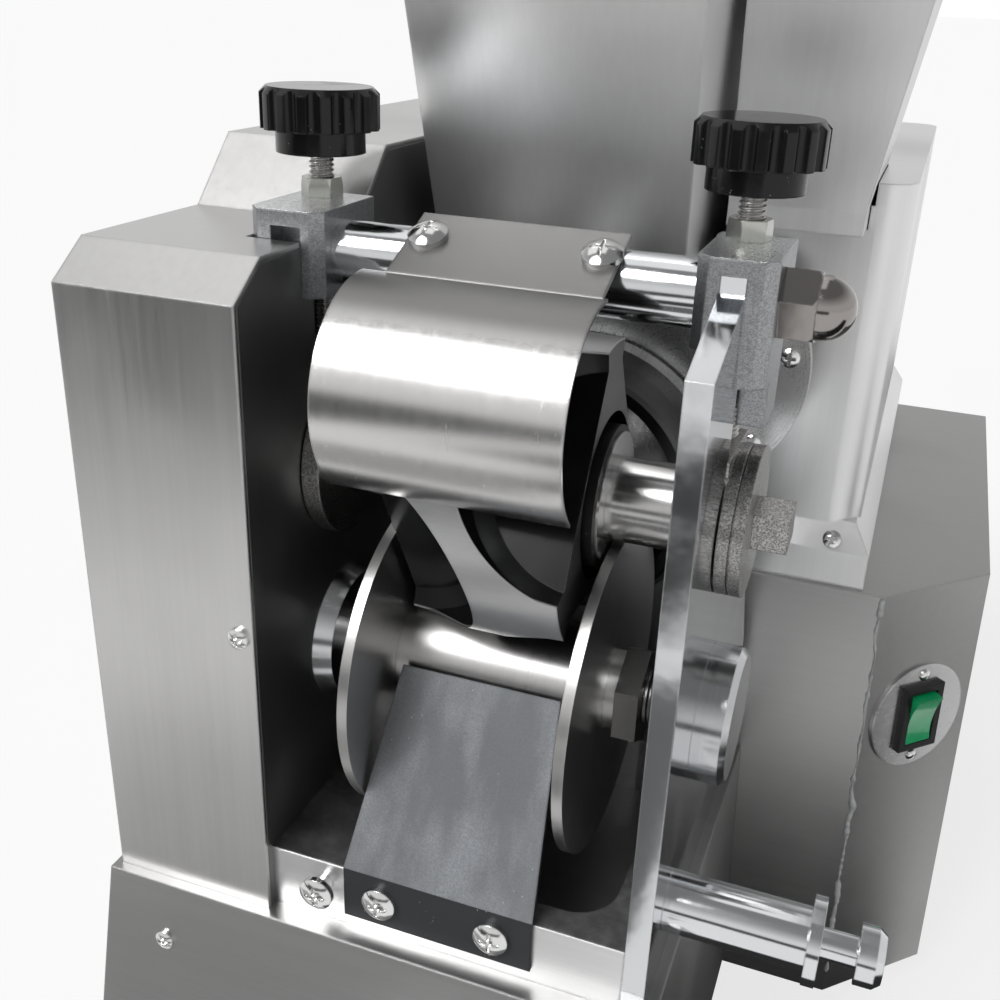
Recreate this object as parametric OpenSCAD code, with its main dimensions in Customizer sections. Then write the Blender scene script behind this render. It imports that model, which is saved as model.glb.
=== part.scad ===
// Dumpling making machine, forming head at the front, millimetres, +Z up.
// Front of the machine faces -Y, gear side is -X, origin under the middle of the base.

/* [Placement] */
// Sideways distance of the head's middle plane from the middle of the base
head_off_x = -14; // [-30:1:30]
// Depth of the roller axes from the middle of the base
head_off_y = -143; // [-200:1:-60]
// Height of the head's base plate above the table
head_off_z = 160; // [100:1:220]

/* [Head plates] */
// Clear width between the two side plates
head_width = 125; // [100:1:160]
// Thickness of the right side plate
plate_thick = 7.5; // [5:0.5:14]
// Thickness of the left wall plate
wall_thick = 10; // [6:0.5:14]
// Distance from the roller axes to the front edge of the plates
plate_front = 56; // [50:1:80]
// Distance from the roller axes to the back edge of the right plate
plate_back = 92; // [60:1:100]
// Thickness of the head's base plate
deck_thick = 24; // [16:1:30]
// Left side of the base plate's window
window_left = 36; // [30:1:50]
// Right side of the window
window_right = 54; // [40:1:58]
// Front of the window before the roller axes
window_front = 46; // [40:1:48]
// Back of the window behind the roller axes
window_back = 54; // [40:1:60]
// Corner radius of the window
window_r = 15; // [8:1:20]
// Height of the plate's front shoulder above the base plate
shoulder_z = 186; // [160:1:195]
// Height where the shoulder meets the neck
neck_z = 200; // [190:1:204]
// Width of the slot that the upper bush slides in
slot_width = 31; // [26:0.5:36]
// Height of the plate behind the slot
rear_prong_z = 138; // [130:1:150]
// Back of the rear prong
prong_back = 41.4; // [30:0.2:60]
// Height of the right plate's rear edge
rear_edge_z = 34.2; // [20:0.2:50]
// Rear shoulder below the upper shaft
rear_shoulder = 9.3; // [4:0.1:16]
// Depth of the neck in front of the slot
neck_deep = 5; // [4:0.5:8]

/* [Rollers] */
// Height of the lower roller axis above the base plate
lower_z = 57; // [50:1:70]
// Length of the forming drum
drum_len = 62; // [50:1:70]
// Radius of the forming drum
drum_r = 50; // [40:1:54]
// Dumpling pockets along each rim of the drum
pockets = 3; // [2:1:4]
// Radius of a half-moon pocket
pocket_r = 38.6; // [28:0.1:39]
// Distance of a pocket's middle outside the drum's end
pocket_out = 4.6; // [4:0.1:10]
// Distance of a pocket's flat floor from the drum axis
pocket_floor = 28; // [27:0.5:34]
// Bevel between a pocket's floor and its wall
pocket_bevel = 5; // [3:0.5:8]
// Turn of the drum at rest
drum_turn = 60; // [0:1:120]
// Radius of the drum shaft
shaft_r = 12; // [8:0.5:14]
// Radius of the steel collar beside the drum
collar_r = 13.5; // [12.5:0.5:18]
// Radius of the black ring on the drum's end
ring_r = 23; // [18:0.5:24]
// Length of the black ring
ring_len = 2.2; // [1.5:0.1:2.6]
// Depth to which the ring sits in the drum's right end
ring_sunk = 8; // [4:0.5:10]
// Radius of that recess
recess_r = 27; // [25:0.5:27.5]
// Length of the pale step behind the black ring
step_len = 1.2; // [0.6:0.1:1.6]
// Radius of that step
step_r = 21; // [15:0.5:22]
// Radius of the bush discs outside the plates
bush_r = 23.5; // [20:0.5:26]
// Length of each of the two bush discs
bush_len = 3.8; // [2:0.1:6]
// Width of the groove between the bush's two discs
bush_groove = 0.5; // [0.3:0.1:1]
// Radius of the left bush's inner disc
inner_bush_r = 28; // [20:0.5:32]
// Width of the square end for a hand wrench
square_w = 12; // [8:0.5:14]
// Length of the square end
square_len = 11; // [8:0.5:20]
// Radius of the spool's hub
hub_r = 19.6; // [15:0.1:25]
// Radius of the spool's flanges
flange_r = 55.5; // [46:0.5:56]
// Thickness of a spool flange
flange_thick = 3.5; // [3:0.5:6]
// Length of the boss outside a spool flange
flange_boss = 4; // [2:0.5:6]
// Radius of that boss
flange_boss_r = 13.5; // [11:0.5:16]
// Gap between the drum's end and a spool flange
flange_gap = 3.2; // [2.8:0.1:4]
// Sideways place of the spool's middle
spool_x = 1; // [0:0.1:1.5]
// Radius of the spool shaft
spool_shaft_r = 9; // [7:0.5:12]
// Width of the spool nut across its flats
spool_nut_af = 30; // [24:1:34]
// Thickness of the spool nut
spool_nut_h = 8; // [5:0.5:12]
// Radius of the lower bearing caps
cap_r = 23; // [18:0.5:26]
// Radius of the bearing's spigot in the plate
spigot_r = 14.95; // [12:0.05:17]
// Length of the lower bearing cap outside the right plate
cap_len = 11; // [6:0.5:14]
// Bevel of the bearing cap's rim
cap_bevel = 2; // [0.5:0.5:4]

/* [Gears] */
// Module of the gear train
gear_m = 2.5; // [2:0.25:3]
// Teeth of the drum gear, of the transfer gear and of the drive gear
gear_teeth = 40; // [36:2:44]
// Teeth of the spool pinion
pinion_teeth = 16; // [14:2:20]
// Face width of the gears
gear_w = 12; // [8:1:16]
// Play at the pitch line of each tooth
gear_play = 0.3; // [0.1:0.05:0.6]
// Height of a tooth's tip in modules
gear_tip = 0.85; // [0.7:0.05:1]
// Depth of a tooth's root in modules
gear_root = 1.2; // [1.1:0.05:1.3]
// Pressure angle of the teeth
gear_angle = 20; // [18:0.5:25]
// Gap from the left wall to the gears
gear_gap = 12; // [8:1:16]
// Teeth of the idler between the pinion and the transfer gear
idler_teeth = 24; // [20:1:24]
// Angle of the line from the idler up to the transfer gear
transfer_rise = 45; // [44:0.5:46]
// Radius of the pins of the idler and the transfer gear
idler_pin_r = 10; // [6:0.5:14]
// Collar radius on those pins
idler_collar_r = 14; // [10:0.5:18]

/* [Crossbar and guard] */
// Radius of the crossbar
bar_r = 10; // [8:0.5:12]
// Height of the crossbar above the base plate
bar_z = 196; // [190:0.5:200]
// Distance of the crossbar in front of the roller axes
bar_front = 6.5; // [4:0.5:9]
// Radius of the crossbar's threaded ends
bar_end_r = 6; // [5:0.5:7]
// Width of the crossbar nuts across their flats
bar_nut_af = 19; // [17:1:22]
// Radius left on the nut's face by its chamfer
bar_nut_face_r = 10.07; // [9:0.01:12]
// Height of the hexagon of the crossbar nuts
bar_nut_h = 10; // [8:0.5:14]
// Height of the sunk nut in the left saddle
sunk_nut_h = 5; // [3:0.5:5.5]
// Radius of the cap nut's dome
dome_r = 9; // [8:0.25:9.4]
// Straight part of the dome
dome_len = 1; // [0.5:0.5:6]
// Outside radius of the guard
guard_r = 33.4; // [28:0.2:36]
// Height of the guard's axis above the base plate
guard_z = 163.5; // [158:0.5:168]
// Distance of the guard's axis in front of the roller axes
guard_front = 29.5; // [27:0.5:34]
// Left end of the guard
guard_left = -39; // [-44:0.5:-34]
// Right end of the guard
guard_right = 34.5; // [32:0.5:42]
// Thickness of the guard sheet
guard_thick = 1; // [0.8:0.1:2]
// Angle where the guard's lower edge ends
guard_low_angle = 49; // [30:1:60]
// Angle where the guard's upper bend lies
guard_top_angle = 2; // [0:1:6]
// Tilt of the guard's tab
tab_tilt = 25; // [10:1:35]
// Length of the tab past the crossbar's crown
tab_back = 9; // [6:0.5:12]
// Length of the tab in front of the crossbar's crown
tab_front = 20.5; // [18:0.5:22]
// Distance of the tab's ends inside the guard's left end
tab_inset = 8; // [4:1:14]
// Step of the tab's right end inside the sheet's
tab_step = 1; // [0.5:0.5:4]
// Distance of the two guard screws
guard_screw_gap = 53; // [40:1:60]

/* [Saddles and press screws] */
// Distance of the right press screw outside the right plate's inner face
press_x = 2.5; // [1.5:0.5:3.5]
// Distance of the left press screw outside the left plate's inner face
press_left = 8; // [4.5:0.5:9.5]
// Distance of the press screws behind the roller axes
press_back = 6; // [5:0.5:8]
// Overhang of the saddle inside the plate
saddle_in = 6.5; // [4:0.5:9]
// Overhang of the saddle outside the plate
saddle_out = 8; // [5:0.5:10]
// Distance of the saddle's front face before the roller axes
saddle_front = 23; // [21:0.5:28]
// Distance of the saddle's back face behind the roller axes
saddle_back = 13.5; // [12:0.5:14]
// Height of the saddle's top above the base plate
saddle_top = 210; // [207:0.5:214]
// Height of the saddle's inner foot
saddle_low = 184; // [180:0.5:190]
// Height of the saddle's outer rib
rib_low = 175; // [170:0.5:182]
// Height of the screw boss below the saddle
boss_low = 161; // [156:0.5:170]
// Radius of the press screws
press_r = 4; // [3:0.5:5]
// Width of the lock nuts across their flats
lock_af = 11.5; // [10:0.5:15]
// Radius of a lock nut's seat
lock_seat_r = 7.13; // [6.5:0.01:9]
// Radius left on a lock nut's top by its chamfer
lock_top_r = 6.21; // [6:0.01:8]
// Height of the lock nuts
lock_h = 6; // [4:0.5:8]
// Gap from lock nut to knob
knob_gap = 7.5; // [5:0.5:12]
// Radius of the knobs
knob_r = 18.5; // [14:0.5:22]
// Height of a knob's grip
knob_h = 12.5; // [10:0.5:20]
// Radius of the knob's neck
neck_r = 14; // [9:0.5:16]
// Height of the knob's neck
neck_h = 7; // [4:0.5:10]
// Flutes around a knob
flutes = 16; // [10:1:22]
// Radius of a flute
flute_r = 2.2; // [1.5:0.1:3]
// Flute centres outside the knob's rim
flute_out = 0.66; // [0:0.02:1.2]

/* [Gear cover] */
// Width of the gear cover
cover_w = 61; // [56:1:70]
// Front face of the cover before the roller axes
cover_front = 60.5; // [58:0.5:70]
// Height of the screw in the cover's inner edge
cover_screw_z = 84; // [70:1:100]
// Height of the cover's front face
cover_face_z = 190; // [180:1:195]
// Height of the cover's low roof
cover_low_z = 201; // [199:0.5:203]
// Depth of the front bevel
cover_bevel = 15; // [8:0.5:20]
// Where the slope to the high roof starts behind the roller axes
cover_slope_y = 14.5; // [14:0.5:24]
// Depth of that slope
cover_slope_d = 21.5; // [8:0.5:30]
// Height of the high roof
cover_high_z = 223; // [215:1:235]
// Thickness of the cover sheet
cover_thick = 1.5; // [1:0.1:2.5]

/* [Chute and post] */
// Width of the chute at its foot
chute_w = 67; // [57:1:67]
// Width of the chute at its head
chute_head_w = 56; // [40:1:56]
// Sideways place of the chute's middle
chute_x = -1; // [-1.2:0.1:1.5]
// Thickness of the chute sheet
chute_thick = 1.5; // [1:0.1:3]
// Distance of the chute's head before the roller axes
chute_head_front = 22; // [21:0.5:30]
// Height of the chute's head
chute_head_z = 62; // [54:0.5:66]
// Height of the chute's bend above the base plate
chute_bend_z = 1.5; // [0.5:0.5:4]
// Length of the chute's front flange
chute_drop = 20; // [12:1:22]
// Distance of the two chute screws
chute_screw_gap = 40; // [30:1:48]
// Distance of the spare screw from the chute's side
spare_gap = 8; // [7:0.5:14]
// Length of the spare screw that stands out of the base plate
spare_out = 5; // [2:0.5:6]
// Radius of the side post
post_r = 10; // [6:0.5:12]
// Length of the side post
post_len = 45; // [30:1:50]
// Distance of the side post before the roller axes
post_front = 30; // [26:1:40]
// Height of the side post
post_z = 2; // [-8:1:10]
// Radius of the post's collar
post_collar_r = 14; // [10.5:0.5:14]
// Length of the post's collar
post_collar_len = 4; // [2:0.5:8]
// Radius of the post bolt's shank
post_bolt_r = 5; // [3:0.5:6]
// Gap between the post and the bolt's head
post_bolt_gap = 11; // [4:0.5:12]
// Radius of the post bolt's head
post_head_r = 9.5; // [8:0.5:14]
// Length of the post bolt's head
post_head_len = 8; // [4:0.5:10]
// Bevel of the post bolt's head along it
post_bevel_len = 2.4; // [1:0.1:4]
// Radius of the bolt head's face
post_face_r = 7.6; // [6:0.1:12]

/* [Extruder] */
// Height of the dough barrel's axis above the base plate
barrel_z = 100; // [96:1:104]
// Outside radius of the dough barrel
barrel_r = 28; // [24:0.5:28.5]
// Bore of the dough barrel
barrel_bore_r = 21; // [18:0.5:23]
// Front of the barrel behind the roller axes
barrel_front = 76; // [70:1:80]
// Back of the barrel behind the roller axes
barrel_back = 176; // [160:1:180]
// Radius of the barrel's front flange
barrel_flange_r = 54; // [46:0.5:54]
// Thickness of the barrel's front flange
barrel_flange = 9; // [6:0.5:11]
// Radius of the nozzle ring
nozzle_ring_r = 48.5; // [40:0.5:49]
// Opening of the nozzle ring
nozzle_open_r = 43; // [30:0.5:44]
// Front of the nozzle ring behind the roller axes
nozzle_front = 57; // [54:0.5:60]
// Bevel of the nozzle ring's edges
nozzle_bevel = 1.5; // [0.5:0.5:3]
// Radius of the nozzle's mouth
mouth_r = 19; // [14:0.5:21]
// Bore of the nozzle's mouth
mouth_bore_r = 15; // [10:0.5:16]
// Radius of the filling tube inside the nozzle
fill_tube_r = 10; // [7:0.5:12]
// Bore of the filling tube
fill_bore_r = 8.5; // [5:0.5:9]
// Radius of the auger's core
auger_core_r = 12; // [11:0.5:13]
// Radius of the auger's flight
auger_r = 20.4; // [17:0.1:20.8]
// Turns of the auger's flight
auger_turns = 3; // [2:1:4]
// Gap in the flight of the auger
auger_flight = 5; // [3:0.5:8]
// Half width of the feed neck
feed_half_w = 24; // [18:1:24]
// Front of the feed neck
feed_front = 146; // [143:1:150]
// Back of the feed neck
feed_back = 172; // [165:1:174]
// Wall of the feed neck
feed_wall = 3; // [2:0.5:5]

/* [Filling pump] */
// Sideways place of the pump's axis
pump_x = 32; // [30:1:36]
// Height of the pump's axis
pump_z = 147; // [146:1:152]
// Radius of the pump casing
pump_r = 28; // [22:0.5:28.5]
// Bore of the pump casing
pump_bore_r = 24; // [18:0.5:25]
// Front of the pump casing
pump_front = 92; // [88:1:96]
// Back of the pump casing
pump_back = 140; // [120:1:150]
// Radius of the pump's round cover
pump_cover_r = 49; // [40:0.5:50]
// Thickness of the pump's round cover
pump_cover_t = 5; // [3:0.5:6]
// Angles of the screws in the pump's round cover
pump_screw_turns = [-41, 10, 60, 150]; // [-180:1:180]
// Radius of the pump's rotor core
rotor_r = 15; // [10:0.5:18]
// Vanes of the pump's rotor
vanes = 6; // [4:1:8]
// Thickness of a vane
vane_t = 2.5; // [2:0.5:4]
// Radius of the pump's shaft
pump_shaft_r = 6; // [4:0.5:7]
// Half width of the pump's inlet neck
inlet_half_w = 7; // [5:0.5:8]
// Wall of the pump's inlet neck
inlet_wall = 3; // [2:0.5:4]

/* [Hoppers] */
// Height of the dough hopper's foot
dough_low_z = 188; // [184:1:192]
// Height of the hoppers' rims
hopper_top_z = 312; // [280:1:360]
// Left side of the dough hopper's foot
dough_left = -54; // [-58:1:-40]
// Right side of the dough hopper's foot
dough_right = 37; // [32:1:38]
// Front of the dough hopper's foot
dough_front = 62; // [60:1:70]
// Back of the dough hopper's foot
dough_back = 170; // [160:1:190]
// Flare of the dough hopper to the sides
dough_flare = 5; // [0:1:12]
// Flare of the dough hopper to the front and back
dough_lean = 36; // [10:1:40]
// Thickness of the hopper sheet
hopper_thick = 1.2; // [0.8:0.1:2]
// Left side of the filling hopper's foot
fill_left = 44; // [43:1:48]
// Right side of the filling hopper's foot
fill_right = 91; // [80:1:96]
// Front of the filling hopper's foot
fill_front = 92; // [88:1:98]
// Back of the filling hopper's foot
fill_back = 165; // [140:1:190]
// Height of the filling hopper's foot
fill_low_z = 206; // [200:1:212]
// Height of the filling hopper's collar
fill_collar_h = 8; // [4:1:12]
// Flare of the filling hopper to the right
fill_flare = 17; // [8:1:30]
// Flare of the filling hopper to the front and back
fill_lean = 14; // [4:1:30]

/* [Housings] */
// Front of the base's tall part behind the roller axes
base_front = 104; // [100:1:110]
// Back of the base
base_back = 356; // [320:1:380]
// Top of the base's tall part
base_top_z = 58; // [50:1:70]
// Left side of the base's top
base_left = -126; // [-135:1:-124]
// Right side of the base's tall part at its front
base_right = 120; // [110:1:126]
// Size of the bevelled corner that carries the switch
base_corner = 40; // [30:1:48]
// Outward slope of the base's walls down to the table
base_flare = 6; // [2:1:10]
// Outward slope of the low base's left and front walls
nose_flare = 12; // [4:1:16]
// Front of the base below the head
base_nose = 64; // [62:1:70]
// Right side of the base below the head
base_nose_right = 74; // [71:1:78]
// Left nose screw from the base's left end
nose_screw_left = 22.7; // [12:0.5:40]
// Right nose screw from the nose's right end
nose_screw_right = 29.6; // [12:0.5:50]
// Height of the rubber feet
foot_h = 18; // [10:1:25]
// Radius of the rubber feet
foot_r = 15; // [10:1:20]
// Radius of a foot at the table
foot_low_r = 12.75; // [8:0.25:18]
// Wall of the housings
shell = 2; // [1.2:0.1:3]
// Right side of the upper housing
upper_right = 106; // [100:1:112]
// Front of the upper housing behind the roller axes
upper_front = 112; // [110:1:118]
// Top of the upper housing
upper_top_z = 214; // [212:1:230]
// Height of the upper housing's skirt
skirt_h = 15; // [8:1:20]
// Overhang of the skirt
skirt_out = 6; // [3:0.5:10]
// Rise of the skirt's slope
skirt_rise = 11; // [9:1:16]
// Sideways place of the skirt's left screw
skirt_screw_left = 56; // [50:1:70]
// Sideways place of the skirt's right screw
skirt_screw_right = 97; // [85:1:99]

/* [Drive] */
// Left side of the transfer gearbox
box_left = -50; // [-56:1:-40]
// Right side of the transfer gearbox
box_right = 60; // [50:1:70]
// Back of the transfer gearbox
box_back = 250; // [240:1:270]
// Top of the transfer gearbox
box_top_z = 185; // [175:1:200]
// Depth of the shaft seats in the gearbox
seat = 12; // [8:1:20]
// Radius of the drive shaft
drive_shaft_r = 10; // [8:0.5:14]
// Radius of the motor
motor_r = 52; // [40:1:60]
// Length of the motor
motor_len = 165; // [120:1:170]
// Radius of the motor's flange
motor_flange_r = 60; // [50:1:66]
// Thickness of the motor's flange
motor_flange = 10; // [6:1:14]

/* [Switch] */
// Height of the switch's middle above the base plate
switch_z = -2; // [-20:1:25]
// Height of the switch's bezel
bezel_h = 30; // [24:0.5:34]
// Width of the switch's bezel
bezel_w = 20; // [14:0.5:22]
// Depth of the switch's body behind the wall
bezel_deep = 18; // [10:1:25]
// Thickness of the bezel's rim
bezel_rim = 2.5; // [1.5:0.5:4]
// Radius of the round plate behind the switch
switch_plate_r = 24; // [20:0.5:26]
// Thickness of that plate
switch_plate_t = 1; // [0.6:0.1:2]
// Height of the rocker
rocker_h = 22; // [16:0.5:26]
// Width of the rocker
rocker_w = 13; // [8:0.5:15]
// Radius of the rocker's pivots
pivot_r = 1.5; // [1:0.1:2]
// Length of each pivot
pivot_len = 0.8; // [0.5:0.1:1]
// Radius of the rocker's hollow face
rocker_face_r = 34; // [26:1:50]
// Rest tilt of the rocker
rocker_tilt = 10; // [5:0.5:14]

/* [Fasteners] */
// Radius of the large pan heads
pan_r = 6; // [4:0.25:7]
// Radius of a screw head's dome over the head's own
head_dome = 1.6; // [1.3:0.1:2.5]
// Length of a screw's cross over the head's diameter
cross_reach = 0.6; // [0.4:0.05:0.8]
// Height of the large pan heads
pan_h = 4; // [2:0.25:5]
// Radius of the large screws
pan_shank_r = 3; // [2:0.25:4]
// Radius of the small screw heads
small_r = 3.6; // [2.5:0.1:4.5]
// Height of the small screw heads
small_h = 2.4; // [1.5:0.1:3]
// Radius of the small screws
small_shank_r = 1.9; // [1:0.1:2.4]
// Depth of a screw's cross recess
cross_deep = 1.4; // [0.6:0.1:1.6]
// Width of a screw's cross recess
cross_w = 1.1; // [0.6:0.1:1.4]

/* [Fits] */
// Running clearance of shafts and screws
run_fit = 0.08; // [0.02:0.01:0.1]
// Clearance of sliding faces
slide_fit = 0.15; // [0.05:0.01:0.3]
// Gap between pieces that must not touch
free_gap = 0.4; // [0.3:0.1:1]

/* [Hidden] */
$fn = 96;
half_w = head_width / 2;
plate_out = half_w + plate_thick;
wall_out = -half_w - wall_thick;
upper_z = lower_z + gear_m * (gear_teeth + pinion_teeth) / 2;
idler_y = gear_m * (pinion_teeth + idler_teeth) / 2;
transfer_reach = gear_m * (idler_teeth + gear_teeth) / 2;
transfer_y = idler_y + transfer_reach * cos(transfer_rise);
transfer_z = lower_z + transfer_reach * sin(transfer_rise);
drive_reach = gear_m * gear_teeth;
drive_rise = asin((upper_z - transfer_z) / drive_reach);
drive_y = transfer_y + drive_reach * cos(drive_rise);
pinion_turn = 180 / pinion_teeth;
idler_turn = mesh_turn(0, pinion_turn, pinion_teeth, idler_teeth);
transfer_turn = mesh_turn(transfer_rise, idler_turn, idler_teeth, gear_teeth);
drive_turn = mesh_turn(drive_rise, transfer_turn, gear_teeth, gear_teeth);
gear_x = wall_out - gear_gap - gear_w;
drum_end = drum_len / 2;
flange_in = drum_end + flange_gap;
ring_end = drum_end + ring_len;
step_end = ring_end + step_len;
bush_out = plate_out + free_gap + 2 * bush_len;
cover_left = -half_w - cover_w;
cover_slope_end = cover_slope_y + cover_slope_d;
big = 400;
bite = 1;
base_low_z = foot_h - head_off_z;
knob_low = saddle_top + lock_h + knob_gap;
press_low = upper_z + bush_r;
box_front = barrel_back;
motor_y = (box_front + box_back) / 2;
flare_rate = base_flare / (base_top_z - base_low_z);
deck_back = base_front - flare_rate * (base_top_z + deck_thick) - free_gap;
corner_x = base_right + base_corner / 2;
corner_y = base_front + base_corner / 2;
switch_turn = 45;
corner_lean = atan(flare_rate * sqrt(2));
switch_out = flare_rate * (base_top_z - switch_z);
bar_crown = [-bar_front - bar_r * sin(tab_tilt), bar_z + bar_r * cos(tab_tilt)];

// Moves a piece from the head's own frame to the machine's origin
module place() {
  translate([head_off_x, head_off_y, head_off_z]) children();
}

// Round bar along X from x0 to x1 at depth y and height z
module bar_x(x0, x1, y, z, r, r2 = -1) {
  r_end = r2 < 0 ? r : r2;
  translate([x0, y, z]) rotate([0, 90, 0]) cylinder(h = x1 - x0, r1 = r, r2 = r_end);
}

// Round bar along Y from y0 to y1 at x and height z
module bar_y(y0, y1, x, z, r, r2 = -1) {
  r_end = r2 < 0 ? r : r2;
  translate([x, y0, z]) rotate([-90, 0, 0]) cylinder(h = y1 - y0, r1 = r, r2 = r_end);
}

// Plate cut from a side outline in depth and height, from x0 to x1
module side_plate(x0, x1, points) {
  translate([x0, 0, 0]) rotate([90, 0, 90]) linear_extrude(x1 - x0) polygon(points);
}

// Box given by its two corners
module block(low, high) {
  translate(low) cube(high - low);
}

// Hexagon along Z with its width across the flats
module hexagon(af, h) {
  cylinder(h = h, r = af / 2 / cos(30), $fn = 6);
}

// Sideways place of the press screw on one side
function press_at(side) = side < 0 ? -half_w - press_left : half_w + press_x;
function polar(r, a) = [r * cos(a), r * sin(a)];
function involute(a) = tan(a) * 180 / PI - a;
function mesh_turn(line, turn, teeth, next) = line + 180 - 180 / next + (line - turn) * teeth / next;

// Spur gear along X in the depth and height plane
module spur(teeth, bore_r, turn) {
  pitch = gear_m * teeth / 2;
  base = pitch * cos(gear_angle);
  tip = pitch + gear_tip * gear_m;
  root = pitch - gear_root * gear_m;
  start = max(base, root);
  half = 90 / teeth - gear_play / 2 / pitch * 180 / PI;
  steps = 4;
  reach = [for (i = [0 : steps]) start + (tip - start) * i / steps];
  lean = [for (r = reach) half + involute(gear_angle) - involute(acos(base / r))];
  flank_a = [for (i = [0 : steps]) [reach[i], -lean[i]]];
  flank_b = [for (i = [steps : -1 : 0]) [reach[i], lean[i]]];
  tooth = concat([[root, -lean[0]]], flank_a, flank_b, [[root, lean[0]]]);
  outline = [for (k = [0 : teeth - 1]) for (p = tooth) polar(p[0], p[1] + turn + k * 360 / teeth)];
  rotate([90, 0, 90]) difference() {
    linear_extrude(gear_w) polygon(outline);
    translate([0, 0, -bite]) cylinder(h = gear_w + 2 * bite, r = bore_r);
  }
}

// Pan head screw pointing down from the origin, head upwards
module pan_screw(r, h, shank, len) {
  difference() {
    intersection() {
      cylinder(h = h, r = r);
      translate([0, 0, h - head_dome * r]) sphere(r = head_dome * r);
    }
    for (a = [0, 90]) rotate([0, 0, a]) translate([-r * cross_reach, -cross_w / 2, h - cross_deep])
      cube([2 * r * cross_reach, cross_w, h]);
  }
  translate([0, 0, -len]) cylinder(h = len, r = shank);
}

// Outline of the gear cover, shrunk inwards by t
function cover_outline(t) = [
  [-cover_front + t, -deck_thick],
  [-cover_front + t, cover_face_z - t / 3],
  [-cover_front + cover_bevel + t / 3, cover_low_z - t],
  [cover_slope_y + t / 3, cover_low_z - t],
  [cover_slope_end + t / 2, cover_high_z - t],
  [base_back - t, cover_high_z - t],
  [base_back - t, -deck_thick]];

// Four sided frustum between two rectangles [x0, y0, x1, y1] at heights z0 and z1
module frustum(a, z0, b, z1) {
  polyhedron(points = [[a[0], a[1], z0], [a[2], a[1], z0], [a[2], a[3], z0], [a[0], a[3], z0],
    [b[0], b[1], z1], [b[2], b[1], z1], [b[2], b[3], z1], [b[0], b[3], z1]],
    faces = [[0, 1, 2, 3], [7, 6, 5, 4], [0, 4, 5, 1], [1, 5, 6, 2], [2, 6, 7, 3], [3, 7, 4, 0]]);
}

// Five sided block with one bevelled corner, flared from its top to its foot
module corner_block(t, z0, z1) {
  f = flare_rate * (base_top_z - z0);
  g = flare_rate * (base_top_z - z1);
  x_in = -half_w + t;
  foot = [[x_in, base_front - f + t], [base_right + f - t / 2, base_front - f + t],
    [base_right + base_corner + f - t, base_front + base_corner - f + t / 2],
    [base_right + base_corner + f - t, base_back + f - t], [x_in, base_back + f - t]];
  top = [[x_in, base_front - g + t], [base_right + g - t / 2, base_front - g + t],
    [base_right + base_corner + g - t, base_front + base_corner - g + t / 2],
    [base_right + base_corner + g - t, base_back + g - t], [x_in, base_back + g - t]];
  polyhedron(points = concat([for (p = foot) [p[0], p[1], z0]], [for (p = top) [p[0], p[1], z1]]),
    faces = [[0, 1, 2, 3, 4], [9, 8, 7, 6, 5], [0, 5, 6, 1], [1, 6, 7, 2], [2, 7, 8, 3], [3, 8, 9, 4],
      [4, 9, 5, 0]]);
}

// Flat shape with four rounded corners between two corners
module round_rect(x0, y0, x1, y1, r) {
  translate([x0 + r, y0]) square([x1 - x0 - 2 * r, y1 - y0]);
  translate([x0, y0 + r]) square([x1 - x0, y1 - y0 - 2 * r]);
  for (x = [x0 + r, x1 - r]) for (y = [y0 + r, y1 - r]) translate([x, y]) circle(r = r);
}

// Frame on the bevelled corner of the base, -Y outwards and Z up the wall
module on_corner() {
  translate([corner_x + switch_out, corner_y - switch_out, switch_z])
    rotate([0, 0, switch_turn]) rotate([-corner_lean, 0, 0]) children();
}

// Frame on the guard's tab, Z square to the tab
module on_tab(x, along) {
  translate([x, bar_crown[0], bar_crown[1]]) rotate([tab_tilt, 0, 0]) translate([0, along, 0]) children();
}

// Frames of the large pan screws
module pan_places() {
  tab_mid = (guard_left + tab_inset + guard_right) / 2;
  flange_z = chute_bend_z - chute_drop / 2;
  for (x = [-1, 1]) on_tab(tab_mid + x * guard_screw_gap / 2, -pan_r / 2) translate([0, 0, guard_thick])
    children();
  for (x = [-1, 1]) translate([chute_x + x * chute_screw_gap / 2, -plate_front - chute_thick, flange_z])
    rotate([90, 0, 0]) children();
  translate([chute_x - chute_w / 2 - spare_gap, -plate_front - spare_out, flange_z]) rotate([90, 0, 0])
    children();
}

// Frames of the small screws on the pump cover
module pump_screw_places() {
  for (a = pump_screw_turns) translate([pump_x, pump_front - pump_cover_t, pump_z])
    rotate([90, 0, 0]) translate(concat(polar(pump_cover_r - 2 * small_r, a), [0])) children();
}

// Frames of the small screws on the covers
module cover_screw_places() {
  translate([wall_out + wall_thick / 2, -cover_front, cover_screw_z]) rotate([90, 0, 0]) children();
}

// Frames of the small screws on the base's front wall
module nose_screw_places() {
  lean = atan(nose_flare / (-deck_thick - base_low_z));
  for (x = [base_left + nose_screw_left, base_nose_right - nose_screw_right])
    translate([x, -base_nose, -deck_thick]) rotate([-lean, 0, 0]) translate([0, 0, -deck_thick])
      rotate([90, 0, 0]) children();
}

// Frames of the small screws on the slope of the upper housing's skirt
module skirt_screw_places() {
  turn = atan(skirt_rise / (skirt_out + shell / 2));
  for (x = [skirt_screw_left, skirt_screw_right])
    translate([x, upper_front - skirt_out, base_top_z + skirt_h]) rotate([turn, 0, 0])
      translate([0, small_r + bite, 0]) children();
}

// Solid of the base, shrunk inwards by t
module base_solid(t, low) {
  rise = (-deck_thick - t - low) / (-deck_thick - base_low_z);
  f = nose_flare * rise;
  g = base_flare * rise;
  frustum([base_left - f + t, -base_nose - f + t, base_nose_right + g - t, base_back + g - t], low,
    [base_left + t, -base_nose + t, base_nose_right - t, base_back - t], -deck_thick - t);
  corner_block(t, low, base_top_z - t);
}

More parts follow.
